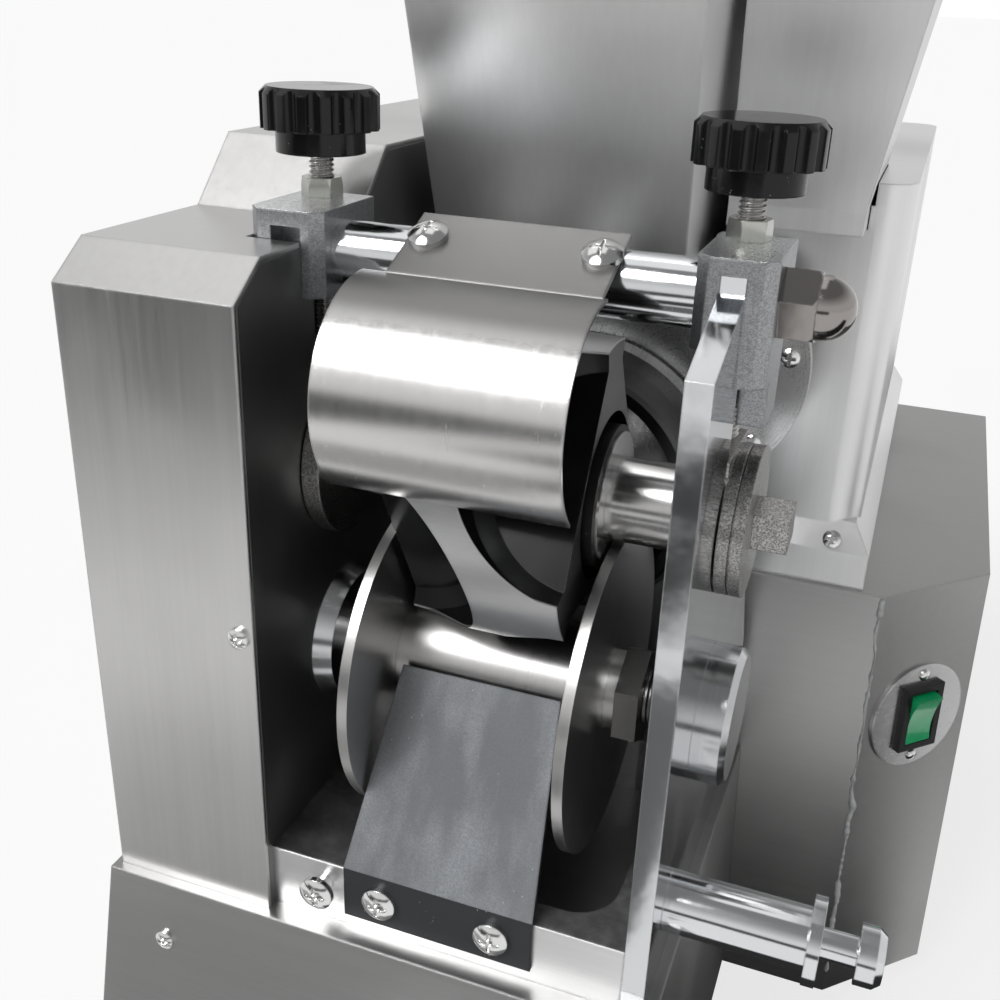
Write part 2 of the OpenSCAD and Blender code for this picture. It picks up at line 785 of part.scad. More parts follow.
module base_housing() {
  color("silver") place() difference() {
    base_solid(0, base_low_z);
    base_solid(shell, base_low_z - bite);
    translate([0, motor_y, base_top_z - 2 * shell]) cylinder(h = 3 * shell, r = drive_shaft_r + shell);
    on_corner() block([-bezel_w / 2 + bezel_rim, -bite, -bezel_h / 2 + bezel_rim],
      [bezel_w / 2 - bezel_rim, 4 * shell, bezel_h / 2 - bezel_rim]);
    nose_screw_places() translate([0, 0, -big / 40]) cylinder(h = big / 20, r = small_shank_r);
  }
}

module base_floor() {
  color("gray") place() difference() {
    intersection() {
      base_solid(shell, base_low_z - bite);
      block([-big, -big, base_low_z], [big, big, base_low_z + shell]);
    }
    foot_places() cylinder(h = big, r = small_shank_r, center = true);
  }
}

// Frames of the four rubber feet
module foot_places() {
  for (x = [base_left + 2 * foot_r, base_nose_right - foot_r])
    for (y = [-base_nose + 2 * foot_r, base_back - 2 * foot_r])
    translate([x, y, 0]) children();
}

module rubber_feet() {
  color("black") place() foot_places() {
    translate([0, 0, base_low_z - foot_h]) cylinder(h = foot_h, r1 = foot_low_r, r2 = foot_r);
    translate([0, 0, base_low_z]) cylinder(h = 2 * shell, r = small_shank_r);
  }
}

module head_base_plate() {
  color("lightgray") place() difference() {
    block([-half_w, -plate_front, -deck_thick], [half_w, deck_back, 0]);
    translate([0, 0, -deck_thick - bite]) linear_extrude(deck_thick + 2 * bite)
      round_rect(-window_left, -window_front, window_right, window_back, window_r);
    pan_places() translate([0, 0, -5 * pan_h]) cylinder(h = 5 * pan_h, r = pan_shank_r);
  }
}

module left_wall_plate() {
  color("dimgray") place() difference() {
    side_plate(wall_out, -half_w, cover_outline(cover_thick));
    block([wall_out - bite, -slot_width / 2, upper_z - slot_width / 2 - free_gap],
      [-half_w + bite, slot_width / 2, big]);
    bar_x(wall_out - bite, -half_w + bite, 0, lower_z, spigot_r);
    bar_x(wall_out - bite, -half_w + bite, idler_y, lower_z, idler_pin_r);
    bar_x(wall_out - bite, -half_w + bite, transfer_y, transfer_z, idler_pin_r);
    bar_x(wall_out - bite, -half_w + bite, drive_y, upper_z, drive_shaft_r + free_gap);
    saddle_neck(-1, wall_out, -half_w);
    cover_screw_places() translate([0, 0, -5 * small_h]) cylinder(h = 5 * small_h, r = small_shank_r);
  }
}

// Room that a saddle takes from the plate it straddles
module saddle_neck(side, x0, x1) {
  block([x0 - bite, -saddle_front - bite, saddle_top - 2 * small_h],
    [x1 + bite, saddle_back + bite, big]);
}

module right_side_plate() {
  slot_foot = upper_z - slot_width / 2 - free_gap;
  neck_y = -slot_width / 2 - neck_deep;
  neck_top = saddle_top - 2 * small_h;
  color("gainsboro") place() difference() {
    side_plate(half_w, plate_out, [[-plate_front, -deck_thick], [plate_back, -deck_thick],
      [plate_back, rear_edge_z],
      [prong_back, upper_z - rear_shoulder], [prong_back, rear_prong_z], [slot_width / 2, rear_prong_z],
      [slot_width / 2, slot_foot], [-slot_width / 2, slot_foot], [-slot_width / 2, neck_top],
        [neck_y, neck_top],
      [neck_y, neck_z], [-plate_front, shoulder_z]]);
    bar_x(half_w - bite, plate_out + bite, 0, lower_z, spigot_r);
    bar_x(half_w - bite, plate_out + bite, -post_front, post_z, post_bolt_r);
  }
}

module gear_cover() {
  color("silver") place() difference() {
    side_plate(cover_left, -half_w, cover_outline(0));
    side_plate(cover_left + cover_thick, -half_w + bite, cover_outline(cover_thick));
    side_plate(cover_left + cover_thick, -half_w + bite,
      [[-cover_front + cover_thick, -big], [base_back - cover_thick, -big],
      [base_back - cover_thick, 0], [-cover_front + cover_thick, 0]]);
    block([wall_out - saddle_out - free_gap, -saddle_front - free_gap, saddle_low],
      [bite - half_w, saddle_back + free_gap, big]);
    cover_screw_places() translate([0, 0, -5 * small_h]) cylinder(h = 9 * small_h, r = small_shank_r);
  }
}

// Saddle over a side plate, from x_in at the head's inside to x_out, plate between a and b
module saddle(side, x_in, a, b, x_out) {
  press = press_at(side);
  difference() {
    union() {
      block([min(x_in, x_out), -saddle_front, saddle_low], [max(x_in, x_out), saddle_back, saddle_top]);
      block([min(b, x_out), -saddle_front, rib_low],
        [max(b, x_out), saddle_back - neck_deep, saddle_low + bite]);
      block([min(b, x_out), -saddle_front / 2, boss_low],
        [max(b, x_out), saddle_back - neck_deep, rib_low + bite]);
    }
    block([min(a, b), -saddle_front - bite, 0], [max(a, b), -slot_width / 2, saddle_top - 2 * small_h]);
    bar_x(min(x_in, x_out) - bite, max(x_in, x_out) + bite, -bar_front, bar_z, bar_end_r);
    translate([press, press_back, 0]) cylinder(h = big, r = press_r + run_fit);
    for (x = [x_in, x_out]) translate([x, -saddle_front, saddle_low]) rotate([0, 0, 45])
      cube([neck_deep, neck_deep, big], center = true);
  }
}

module left_saddle() {
  outer = wall_out - saddle_out;
  color("lightgray") place() difference() {
    saddle(-1, -half_w + saddle_in, -half_w, wall_out, outer);
    bar_x(outer - bite, outer + sunk_nut_h, -bar_front, bar_z, bar_nut_af / 2 / cos(30) + free_gap);
  }
}

module right_saddle() {
  color("lightgray") place() saddle(1, half_w - saddle_in, half_w, plate_out, plate_out + saddle_out);
}

module crossbar() {
  end = half_w - saddle_in;
  color("gainsboro") place() difference() {
    union() {
      bar_x(-end, end, -bar_front, bar_z, bar_r);
      bar_x(wall_out - saddle_out, -end + bite, -bar_front, bar_z, bar_end_r);
      bar_x(end - bite, plate_out + saddle_out + bar_nut_h, -bar_front, bar_z, bar_end_r);
    }
    pan_places() translate([0, 0, -2 * pan_h]) cylinder(h = 2 * pan_h, r = pan_shank_r);
  }
}

module acorn_nut() {
  color("gainsboro") place() translate([plate_out + saddle_out, -bar_front, bar_z]) rotate([0, 90, 0])
    difference() {
    union() {
      intersection() {
        rotate([0, 0, 15]) hexagon(bar_nut_af, bar_nut_h);
        translate([0, 0, -bite]) cylinder(h = bar_nut_h + bite, r1 = bar_nut_af, r2 = bar_nut_face_r);
      }
      cylinder(h = bar_nut_h + dome_len, r = dome_r);
      translate([0, 0, bar_nut_h + dome_len]) sphere(r = dome_r);
    }
    translate([0, 0, -bite]) cylinder(h = bar_nut_h + bite, r = bar_end_r);
  }
}

module crossbar_nut() {
  start = wall_out - saddle_out + sunk_nut_h;
  color("gainsboro") place() translate([start, -bar_front, bar_z]) rotate([0, -90, 0]) difference() {
    hexagon(bar_nut_af, sunk_nut_h);
    translate([0, 0, -bite]) cylinder(h = sunk_nut_h + 2 * bite, r = bar_end_r);
  }
}

module guard() {
  reach = guard_right - guard_left;
  color("silver") place() difference() {
    union() {
      translate([guard_left, -guard_front, guard_z]) rotate([90, 0, 90])
        rotate([0, 0, 90 - guard_top_angle])
        rotate_extrude(angle = 90 + guard_top_angle + guard_low_angle)
          translate([guard_r - guard_thick, 0]) square([guard_thick, reach]);
      on_tab(0, 0) block([guard_left + tab_inset, -tab_front, 0],
        [guard_right - tab_step, tab_back, guard_thick]);
    }
    pan_places() translate([0, 0, -2 * guard_thick]) cylinder(h = 3 * guard_thick, r = pan_shank_r);
  }
}

module pan_screws() {
  color("gainsboro") place() pan_places() pan_screw(pan_r, pan_h, pan_shank_r, 2 * pan_h);
}

module small_screws() {
  color("gainsboro") place() {
    pump_screw_places() pan_screw(small_r, small_h, small_shank_r, pump_cover_t);
    cover_screw_places() pan_screw(small_r, small_h, small_shank_r, 4 * small_h);
    nose_screw_places() pan_screw(small_r, small_h, small_shank_r, shell);
    skirt_screw_places() pan_screw(small_r, small_h, small_shank_r, skirt_out);
  }
}

module lower_bearing_left() {
  color("gray") place() difference() {
    union() {
      bar_x(wall_out, -half_w + bite, 0, lower_z, spigot_r);
      bar_x(-half_w, -half_w + saddle_in, 0, lower_z, cap_r + cap_bevel, cap_r);
    }
    bar_x(wall_out - bite, 0, 0, lower_z, spool_shaft_r + run_fit);
  }
}

module lower_bearing_right() {
  color("gainsboro") place() difference() {
    union() {
      bar_x(half_w, plate_out + bite, 0, lower_z, spigot_r);
      bar_x(plate_out, plate_out + cap_len - cap_bevel, 0, lower_z, cap_r);
      bar_x(plate_out + cap_len - cap_bevel, plate_out + cap_len, 0, lower_z, cap_r, cap_r - cap_bevel);
    }
    bar_x(0, plate_out + cap_len - 2 * cap_bevel, 0, lower_z, spool_shaft_r + run_fit);
  }
}

module chute() {
  foot = [-plate_front - chute_thick, chute_bend_z];
  head = [-chute_head_front, chute_head_z];
  slope = atan2(head[1] - foot[1], head[0] - foot[0]);
  under = [chute_thick * sin(slope), -chute_thick * cos(slope)];
  low = chute_bend_z - chute_drop;
  wide = chute_w / 2;
  narrow = chute_head_w / 2;
  side = [foot, [foot[0], low], [-plate_front, low], [-plate_front, foot[1] - chute_thick / 4],
    head + under, head];
  face = [[-wide, low], [wide, low], [wide, foot[1]], [narrow, head[1]], [-narrow, head[1]],
    [-wide, foot[1]]];
  color("dimgray") place() difference() {
    translate([chute_x, 0, 0]) intersection() {
      side_plate(-wide, wide, side);
      translate([0, big, 0]) rotate([90, 0, 0]) linear_extrude(2 * big) polygon(face);
    }
    pan_places() translate([0, 0, -2 * pan_h]) cylinder(h = 3 * pan_h, r = pan_shank_r);
  }
}

module side_post() {
  color("gainsboro") place() difference() {
    union() {
      bar_x(half_w, plate_out + bite, -post_front, post_z, post_bolt_r);
      bar_x(plate_out, plate_out + post_len, -post_front, post_z, post_r);
      bar_x(plate_out + post_len, plate_out + post_len + post_collar_len, -post_front, post_z,
        post_collar_r);
    }
    bar_x(plate_out + post_len - post_r, big, -post_front, post_z, post_bolt_r);
  }
}

module post_bolt() {
  start = plate_out + post_len + post_collar_len + post_bolt_gap;
  color("silver") place() {
    bar_x(plate_out + post_len - post_r, start, -post_front, post_z, post_bolt_r);
    bar_x(start, start + post_head_len - post_bevel_len, -post_front, post_z, post_head_r);
    bar_x(start + post_head_len - post_bevel_len, start + post_head_len, -post_front, post_z,
      post_head_r, post_face_r);
  }
}

module dough_barrel() {
  color("silver") place() difference() {
    union() {
      bar_y(barrel_front, barrel_back, 0, barrel_z, barrel_r);
      bar_y(barrel_front, barrel_front + barrel_flange, 0, barrel_z, barrel_flange_r);
      block([-feed_half_w, feed_front, barrel_z], [feed_half_w, feed_back, dough_low_z]);
    }
    bar_y(0, barrel_back + bite, 0, barrel_z, barrel_bore_r);
    block([-feed_half_w + feed_wall, feed_front + feed_wall, barrel_z],
      [feed_half_w - feed_wall, feed_back - feed_wall, big]);
  }
}

module nozzle_ring() {
  color("dimgray") place() difference() {
    union() {
      bar_y(nozzle_front, nozzle_front + nozzle_bevel, 0, barrel_z, nozzle_ring_r - nozzle_bevel,
        nozzle_ring_r);
      bar_y(nozzle_front + nozzle_bevel, barrel_front, 0, barrel_z, nozzle_ring_r);
    }
    bar_y(nozzle_front - bite, barrel_front + bite, 0, barrel_z, nozzle_open_r);
  }
}

module nozzle() {
  mid = (nozzle_front + barrel_front) / 2;
  color("silver") place() {
    difference() {
      union() {
        bar_y(mid, barrel_front, 0, barrel_z, mouth_r, nozzle_open_r);
        bar_y(nozzle_front - bite, mid, 0, barrel_z, mouth_r);
      }
      bar_y(nozzle_front - 2 * bite, mid, 0, barrel_z, mouth_bore_r);
      bar_y(mid, barrel_front + bite, 0, barrel_z, mouth_bore_r, barrel_bore_r);
    }
    difference() {
      union() {
        bar_y(nozzle_front - bite, barrel_front - bite, 0, barrel_z, fill_tube_r);
        for (a = [90, 210, 330]) translate([0, 0, barrel_z]) rotate([0, a, 0])
          block([fill_bore_r + bite, mid - vane_t, -vane_t / 2], [mouth_bore_r + bite, mid, vane_t / 2]);
      }
      bar_y(0, big, 0, barrel_z, fill_bore_r);
    }
  }
}

module dough_hopper() {
  t = hopper_thick;
  foot = [dough_left, dough_front, dough_right, dough_back];
  rim = [dough_left - dough_flare, dough_front - dough_lean, dough_right + dough_flare,
    dough_back + dough_lean];
  color("silver") place() difference() {
    frustum(foot, dough_low_z, rim, hopper_top_z);
    frustum(foot + [t, t, -t, -t], dough_low_z + 2 * t, rim + [t, t, -t, -t], hopper_top_z + 2 * t);
    block([-feed_half_w + feed_wall, feed_front + feed_wall, 0],
      [feed_half_w - feed_wall, feed_back - feed_wall, hopper_top_z]);
  }
}

module filling_hopper() {
  t = hopper_thick;
  foot = [fill_left, fill_front, fill_right, fill_back];
  rim = [fill_left, fill_front - fill_lean, fill_right + fill_flare, fill_back + fill_lean];
  mid_x = fill_left + inlet_half_w;
  color("silver") place() difference() {
    union() {
      frustum(foot, fill_low_z, rim, hopper_top_z);
      block([fill_left, fill_front, fill_low_z - fill_collar_h], [fill_right, fill_back, fill_low_z]);
    }
    frustum(foot + [t, t, -t, -t], fill_low_z - t, rim + [t, t, -t, -t], hopper_top_z + t);
    block([mid_x - inlet_half_w + inlet_wall, pump_front + 2 * inlet_wall, 0],
      [mid_x + inlet_half_w - inlet_wall, pump_back - 2 * inlet_wall, hopper_top_z]);
  }
}

module pump_casing() {
  mid_x = fill_left + inlet_half_w;
  color("silver") place() difference() {
    union() {
      bar_y(pump_front, pump_back, pump_x, pump_z, pump_r);
      block([mid_x - inlet_half_w, pump_front + inlet_wall, pump_z],
        [mid_x + inlet_half_w, pump_back - inlet_wall, fill_low_z - fill_collar_h]);
    }
    bar_y(pump_front - bite, pump_back - 2 * inlet_wall, pump_x, pump_z, pump_bore_r);
    bar_y(pump_front, big, pump_x, pump_z, pump_shaft_r + run_fit);
    block([mid_x - inlet_half_w + inlet_wall, pump_front + 2 * inlet_wall, pump_z],
      [mid_x + inlet_half_w - inlet_wall, pump_back - 2 * inlet_wall, big]);
  }
}

module pump_cover() {
  color("lightgray") place() difference() {
    bar_y(pump_front - pump_cover_t, pump_front, pump_x, pump_z, pump_cover_r);
    bar_y(0, big, 0, barrel_z, barrel_r + free_gap);
    pump_screw_places() translate([0, 0, -big / 20]) cylinder(h = big / 10, r = small_shank_r);
    block([-big, 0, dough_low_z - free_gap], [dough_right + dough_flare, big, big]);
    block([-big, 0, fill_low_z - fill_collar_h], [big, big, big]);
  }
}

module upper_housing() {
  back = base_back - skirt_out;
  skirt_z = base_top_z + skirt_h;
  corner = 2 * skirt_out;
  dough_in = (upper_top_z - dough_low_z) / (hopper_top_z - dough_low_z);
  fill_in = (upper_top_z - fill_low_z) / (hopper_top_z - fill_low_z);
  color("silver") place() difference() {
    union() {
      translate([0, 0, base_top_z]) linear_extrude(upper_top_z - base_top_z) difference() {
        round_rect(-half_w - corner, upper_front, upper_right, back, corner);
        translate([-half_w - 2 * corner, 0]) square([2 * corner, big]);
      }
      block([-half_w, upper_front - skirt_out, base_top_z],
        [upper_right + skirt_out, back + skirt_out, skirt_z]);
      frustum([-half_w, upper_front - skirt_out, upper_right + skirt_out, back + skirt_out], skirt_z,
        [-half_w, upper_front + shell / 2, upper_right - shell / 2, back - shell / 2],
          skirt_z + skirt_rise);
    }
    translate([0, 0, base_top_z - bite]) linear_extrude(upper_top_z - shell - base_top_z + bite)
      round_rect(-half_w - corner, upper_front + shell, upper_right - shell, back - shell, corner - shell);
    bar_y(0, upper_front + 2 * shell, 0, barrel_z, barrel_r + free_gap);
    bar_y(0, upper_front + 2 * shell, pump_x, pump_z, pump_r + free_gap);
    block([-half_w - bite, 0, dough_low_z - free_gap],
      [fill_left - free_gap, dough_back + dough_lean * dough_in + free_gap, big]);
    block([fill_left - inlet_wall, 0, pump_z],
      [fill_left + 2 * inlet_half_w + free_gap, upper_front + 2 * shell, big]);
    block([fill_left - bite, 0, fill_low_z - fill_collar_h - free_gap],
      [fill_right + free_gap, fill_back + free_gap, big]);
    block([fill_left - bite, 0, fill_low_z],
      [fill_right + fill_flare * fill_in + free_gap, fill_back + fill_lean * fill_in + free_gap, big]);
    skirt_screw_places() translate([0, 0, -skirt_out]) cylinder(h = 2 * skirt_out, r = small_shank_r);
  }
}

module gearbox() {
  color("slategray") place() difference() {
    block([box_left, box_front, base_top_z], [box_right, box_back, box_top_z]);
    bar_y(0, box_front + seat, 0, barrel_z, auger_core_r + run_fit);
    bar_y(0, box_front + seat, pump_x, pump_z, pump_shaft_r + run_fit);
    bar_x(-big, box_left + seat, drive_y, upper_z, drive_shaft_r + run_fit);
    translate([0, motor_y, 0]) cylinder(h = base_top_z + 2 * seat, r = drive_shaft_r + free_gap);
  }
}

module motor() {
  top = base_top_z - shell;
  color("steelblue") place() translate([0, motor_y, 0]) {
    translate([0, 0, top - motor_flange]) cylinder(h = motor_flange, r = motor_flange_r);
    translate([0, 0, top - motor_flange - motor_len]) cylinder(h = motor_len, r = motor_r);
    translate([0, 0, top]) cylinder(h = 2 * drive_shaft_r, r = drive_shaft_r);
  }
}

module gear_pin(y, z) {
  bar_x(gear_x - free_gap, -half_w, y, z, idler_pin_r);
  bar_x(gear_x - free_gap - 2 * bite, gear_x - free_gap, y, z, idler_collar_r);
  bar_x(gear_x + gear_w + free_gap, wall_out, y, z, idler_collar_r);
}

module idler_pin() {
  color("gainsboro") place() gear_pin(idler_y, lower_z);
}

module transfer_pin() {
  color("gainsboro") place() gear_pin(transfer_y, transfer_z);
}

module switch_plate() {
  color("gray") place() on_corner() difference() {
    rotate([90, 0, 0]) cylinder(h = switch_plate_t, r = switch_plate_r);
    block([-bezel_w / 2 + bezel_rim, -big / 2, -bezel_h / 2 + bezel_rim],
      [bezel_w / 2 - bezel_rim, big / 2, bezel_h / 2 - bezel_rim]);
  }
}

module switch_bezel() {
  rim = bezel_rim + switch_plate_t;
  color("black") place() on_corner() difference() {
    union() {
      block([-bezel_w / 2, -rim, -bezel_h / 2], [bezel_w / 2, -switch_plate_t, bezel_h / 2]);
      block([-bezel_w / 2 + bezel_rim, -switch_plate_t - bite, -bezel_h / 2 + bezel_rim],
        [bezel_w / 2 - bezel_rim, bezel_deep, bezel_h / 2 - bezel_rim]);
    }
    block([-rocker_w / 2 - free_gap, -big, -rocker_h / 2 - bite],
      [rocker_w / 2 + free_gap, bezel_deep - 2 * bezel_rim, rocker_h / 2 + bite]);
    bar_x(-rocker_w / 2 - pivot_len - free_gap, rocker_w / 2 + pivot_len + free_gap, 0, 0,
      pivot_r + run_fit);
  }
}

module switch_rocker() {
  rim = bezel_rim + switch_plate_t;
  color("green") place() on_corner() rotate([rocker_tilt, 0, 0]) {
    difference() {
      block([-rocker_w / 2, -rim - bezel_rim, -rocker_h / 2], [rocker_w / 2, bezel_rim, rocker_h / 2]);
      bar_x(-rocker_w, rocker_w, -rim - rocker_face_r, 0, rocker_face_r);
    }
    bar_x(-rocker_w / 2 - pivot_len, rocker_w / 2 + pivot_len, 0, 0, pivot_r);
  }
}

module lock_nuts() {
  color("gainsboro") place() for (side = [-1, 1]) translate([press_at(side), press_back, saddle_top])
    difference() {
    intersection() {
      rotate([0, 0, 20]) hexagon(lock_af, lock_h);
      cylinder(h = lock_h, r1 = lock_seat_r, r2 = lock_top_r);
    }
    translate([0, 0, -bite]) cylinder(h = lock_h + 2 * bite, r = press_r + run_fit);
  }
}

module upper_bush_left() {
  half = slot_width / 2 - slide_fit;
  color("gray") place() difference() {
    union() {
      block([wall_out - free_gap, -half, upper_z - half], [-half_w + free_gap, half, upper_z + bush_r]);
      bar_x(-half_w + free_gap, -half_w + saddle_in, 0, upper_z, inner_bush_r);
      bar_x(wall_out - free_gap - bush_len, wall_out - free_gap, 0, upper_z, bush_r);
    }
    bar_x(-big, 0, 0, upper_z, shaft_r + run_fit);
  }
}

module upper_bush_right() {
  half = slot_width / 2 - slide_fit;
  first = plate_out + free_gap;
  color("gray") place() difference() {
    union() {
      block([half_w, -half, upper_z - half], [first, half, upper_z + bush_r]);
      bar_x(first, first + 2 * bush_len, 0, upper_z, bush_r);
    }
    bar_x(0, big, 0, upper_z, shaft_r + run_fit);
    difference() {
      bar_x(first + bush_len - bush_groove / 2, first + bush_len + bush_groove / 2, 0, upper_z,
        bush_r + bite);
      bar_x(0, big, 0, upper_z, bush_r - bite);
    }
  }
}

module upper_shaft() {
  color("gainsboro") place() {
    bar_x(gear_x - bite, bush_out, 0, upper_z, shaft_r);
    translate([bush_out, 0, upper_z]) rotate([8, 0, 0])
      block([0, -square_w / 2, -square_w / 2], [square_len, square_w / 2, square_w / 2]);
  }
}

// Half-moon pocket, its floor square to Z at pocket_floor
module pocket() {
  translate([0, 0, pocket_floor]) cylinder(h = pocket_bevel, r1 = pocket_r - pocket_bevel, r2 = pocket_r);
  translate([0, 0, pocket_floor + pocket_bevel]) cylinder(h = drum_r, r = pocket_r);
}

module forming_drum() {
  step = 360 / pockets;
  reach = drum_end + pocket_out;
  color("lightgray") place() difference() {
    bar_x(-drum_end, drum_end, 0, upper_z, drum_r);
    bar_x(-big, big, 0, upper_z, shaft_r);
    bar_x(drum_end - ring_sunk, big, 0, upper_z, recess_r);
    for (k = [0 : pockets - 1]) {
      translate([reach, 0, upper_z]) rotate([drum_turn + k * step, 0, 0]) pocket();
      translate([-reach, 0, upper_z]) rotate([drum_turn + (k + 0.5) * step, 0, 0]) pocket();
    }
  }
}

module drum_ring() {
  color("black") place() difference() {
    bar_x(drum_end - ring_sunk, ring_end, 0, upper_z, ring_r);
    bar_x(0, big, 0, upper_z, shaft_r);
  }
}

module drum_collar() {
  color("silver") place() difference() {
    union() {
      bar_x(ring_end, step_end, 0, upper_z, step_r);
      bar_x(step_end, half_w - free_gap, 0, upper_z, collar_r);
      bar_x(-half_w + saddle_in + free_gap, -drum_end, 0, upper_z, collar_r);
    }
    bar_x(-big, big, 0, upper_z, shaft_r);
  }
}

module upper_gear() {
  color("darkgray") place() translate([gear_x, 0, upper_z]) spur(gear_teeth, shaft_r, 0);
}

module lower_shaft() {
  color("gainsboro") place() bar_x(gear_x - bite, plate_out + cap_len - 2 * cap_bevel - free_gap, 0,
    lower_z, spool_shaft_r);
}

module spool_hub() {
  color("lightgray") place() difference() {
    bar_x(spool_x - flange_in, spool_x + flange_in, 0, lower_z, hub_r);
    bar_x(-big, big, 0, lower_z, spool_shaft_r);
  }
}

// Spool flange with its boss on the outside, drawn for the right side
module spool_flange() {
  difference() {
    union() {
      bar_x(flange_in, flange_in + flange_thick, 0, lower_z, flange_r);
      bar_x(flange_in, flange_in + flange_thick + flange_boss, 0, lower_z, flange_boss_r);
    }
    bar_x(-big, big, 0, lower_z, spool_shaft_r);
  }
}

module spool_flange_left() {
  color("silver") place() translate([spool_x, 0, 0]) mirror([1, 0, 0]) spool_flange();
}

module spool_flange_right() {
  color("silver") place() translate([spool_x, 0, 0]) spool_flange();
}

module spool_nut() {
  start = spool_x + flange_in + flange_thick + flange_boss;
  color("dimgray") place() translate([start, 0, lower_z]) rotate([0, 90, 0]) difference() {
    hexagon(spool_nut_af, spool_nut_h);
    translate([0, 0, -bite]) cylinder(h = spool_nut_h + 2 * bite, r = spool_shaft_r);
  }
}

module lower_pinion() {
  color("darkgray") place() translate([gear_x, 0, lower_z])
    spur(pinion_teeth, spool_shaft_r, pinion_turn);
}

module idler_gear() {
  color("darkgray") place() translate([gear_x, idler_y, lower_z])
    spur(idler_teeth, idler_pin_r + run_fit, idler_turn);
}

module transfer_gear() {
  color("darkgray") place() translate([gear_x, transfer_y, transfer_z])
    spur(gear_teeth, idler_pin_r + run_fit, transfer_turn);
}

module drive_shaft() {
  color("gainsboro") place() bar_x(gear_x - bite, box_left + seat - free_gap, drive_y, upper_z,
    drive_shaft_r);
}

module drive_gear() {
  color("darkgray") place() translate([gear_x, drive_y, upper_z])
    spur(gear_teeth, drive_shaft_r, drive_turn);
}

module dough_auger() {
  start = barrel_front + 2 * barrel_flange;
  len = barrel_back - start - 2 * bite;
  color("silver") place() {
    bar_y(start, box_front + seat - free_gap, 0, barrel_z, auger_core_r);
    translate([0, start, barrel_z]) rotate([-90, 0, 0])
      linear_extrude(len, twist = 360 * auger_turns, slices = 20 * auger_turns, $fn = 12)
      translate([auger_core_r - bite, -auger_flight / 2])
        square([auger_r - auger_core_r + bite / 2, auger_flight]);
  }
}

module pump_rotor() {
  color("gainsboro") place() {
    bar_y(pump_front + free_gap, pump_back - 2 * inlet_wall - free_gap, pump_x, pump_z, rotor_r);
    bar_y(pump_back - 3 * inlet_wall, box_front + seat - free_gap, pump_x, pump_z, pump_shaft_r);
    translate([pump_x, 0, pump_z]) for (k = [0 : vanes - 1]) rotate([0, k * 360 / vanes, 0])
      block([rotor_r / 2, pump_front + 2 * free_gap, -vane_t / 2],
        [pump_bore_r - free_gap, pump_back - 2 * inlet_wall - 2 * free_gap, vane_t / 2]);
  }
}

// Fluted knob on a press screw
module knob(side) {
  edge = 2;
  translate([press_at(side), press_back, knob_low]) difference() {
    union() {
      cylinder(h = neck_h, r = neck_r);
      translate([0, 0, neck_h]) cylinder(h = knob_h - edge, r = knob_r);
      translate([0, 0, neck_h + knob_h - edge]) cylinder(h = edge, r1 = knob_r, r2 = knob_r - edge);
    }
    for (k = [0 : flutes - 1]) rotate([0, 0, k * 360 / flutes])
      translate([knob_r + flute_out, 0, neck_h - bite])
      cylinder(h = big, r = flute_r);
    translate([0, 0, -bite]) cylinder(h = neck_h + knob_h / 2 + bite, r = press_r);
  }
}

module knob_left() {
  color("black") place() knob(-1);
}

module knob_right() {
  color("black") place() knob(1);
}

module press_screw_left() {
  color("gainsboro") place() translate([press_at(-1), press_back, press_low])
    cylinder(h = knob_low + neck_h + knob_h / 2 - press_low, r = press_r);
}

module press_screw_right() {
  color("gainsboro") place() translate([press_at(1), press_back, press_low])
    cylinder(h = knob_low + neck_h + knob_h / 2 - press_low, r = press_r);
}

base_housing();
base_floor();
rubber_feet();
head_base_plate();
left_wall_plate();
right_side_plate();
gear_cover();
left_saddle();
right_saddle();
crossbar();
acorn_nut();
crossbar_nut();
guard();
pan_screws();
small_screws();
lower_bearing_left();
lower_bearing_right();
chute();
side_post();
post_bolt();
dough_barrel();
nozzle_ring();
nozzle();
dough_hopper();
filling_hopper();
pump_casing();
pump_cover();
upper_housing();
gearbox();
motor();
idler_pin();
transfer_pin();
switch_plate();
switch_bezel();
lock_nuts();
upper_bush_left();
upper_bush_right();
upper_shaft();
forming_drum();
drum_ring();
drum_collar();
upper_gear();
lower_shaft();
spool_hub();
spool_flange_left();
spool_flange_right();
spool_nut();
lower_pinion();
idler_gear();
transfer_gear();
drive_shaft();
drive_gear();
dough_auger();
pump_rotor();
knob_left();
knob_right();
press_screw_left();
press_screw_right();
switch_rocker();
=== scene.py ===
"""Looks of a table-top dumpling making machine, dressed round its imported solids.

All lengths are metres in the machine's own frame: +X is its right, the front is at -Y, +Z is up.
"""
import logging
import math
from dataclasses import dataclass
from enum import Enum
from typing import Any, Optional, Sequence, Union

import bpy
import numpy as np
from mathutils import Matrix, Vector


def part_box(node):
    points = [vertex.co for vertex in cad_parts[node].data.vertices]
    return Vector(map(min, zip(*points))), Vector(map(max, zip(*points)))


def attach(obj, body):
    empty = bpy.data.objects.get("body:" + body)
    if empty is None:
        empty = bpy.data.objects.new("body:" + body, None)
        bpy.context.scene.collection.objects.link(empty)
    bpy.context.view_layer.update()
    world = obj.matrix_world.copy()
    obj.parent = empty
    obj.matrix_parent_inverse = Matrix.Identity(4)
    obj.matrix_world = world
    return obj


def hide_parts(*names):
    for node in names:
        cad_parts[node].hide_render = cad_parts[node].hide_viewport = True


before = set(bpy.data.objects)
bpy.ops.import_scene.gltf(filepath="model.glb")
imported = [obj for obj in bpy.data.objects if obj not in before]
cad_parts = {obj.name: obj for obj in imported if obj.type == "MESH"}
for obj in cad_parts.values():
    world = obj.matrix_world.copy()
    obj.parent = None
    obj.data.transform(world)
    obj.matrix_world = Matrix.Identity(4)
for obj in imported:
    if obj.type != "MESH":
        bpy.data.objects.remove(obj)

LOG = logging.getLogger("dumpling_machine")
MM = 0.001
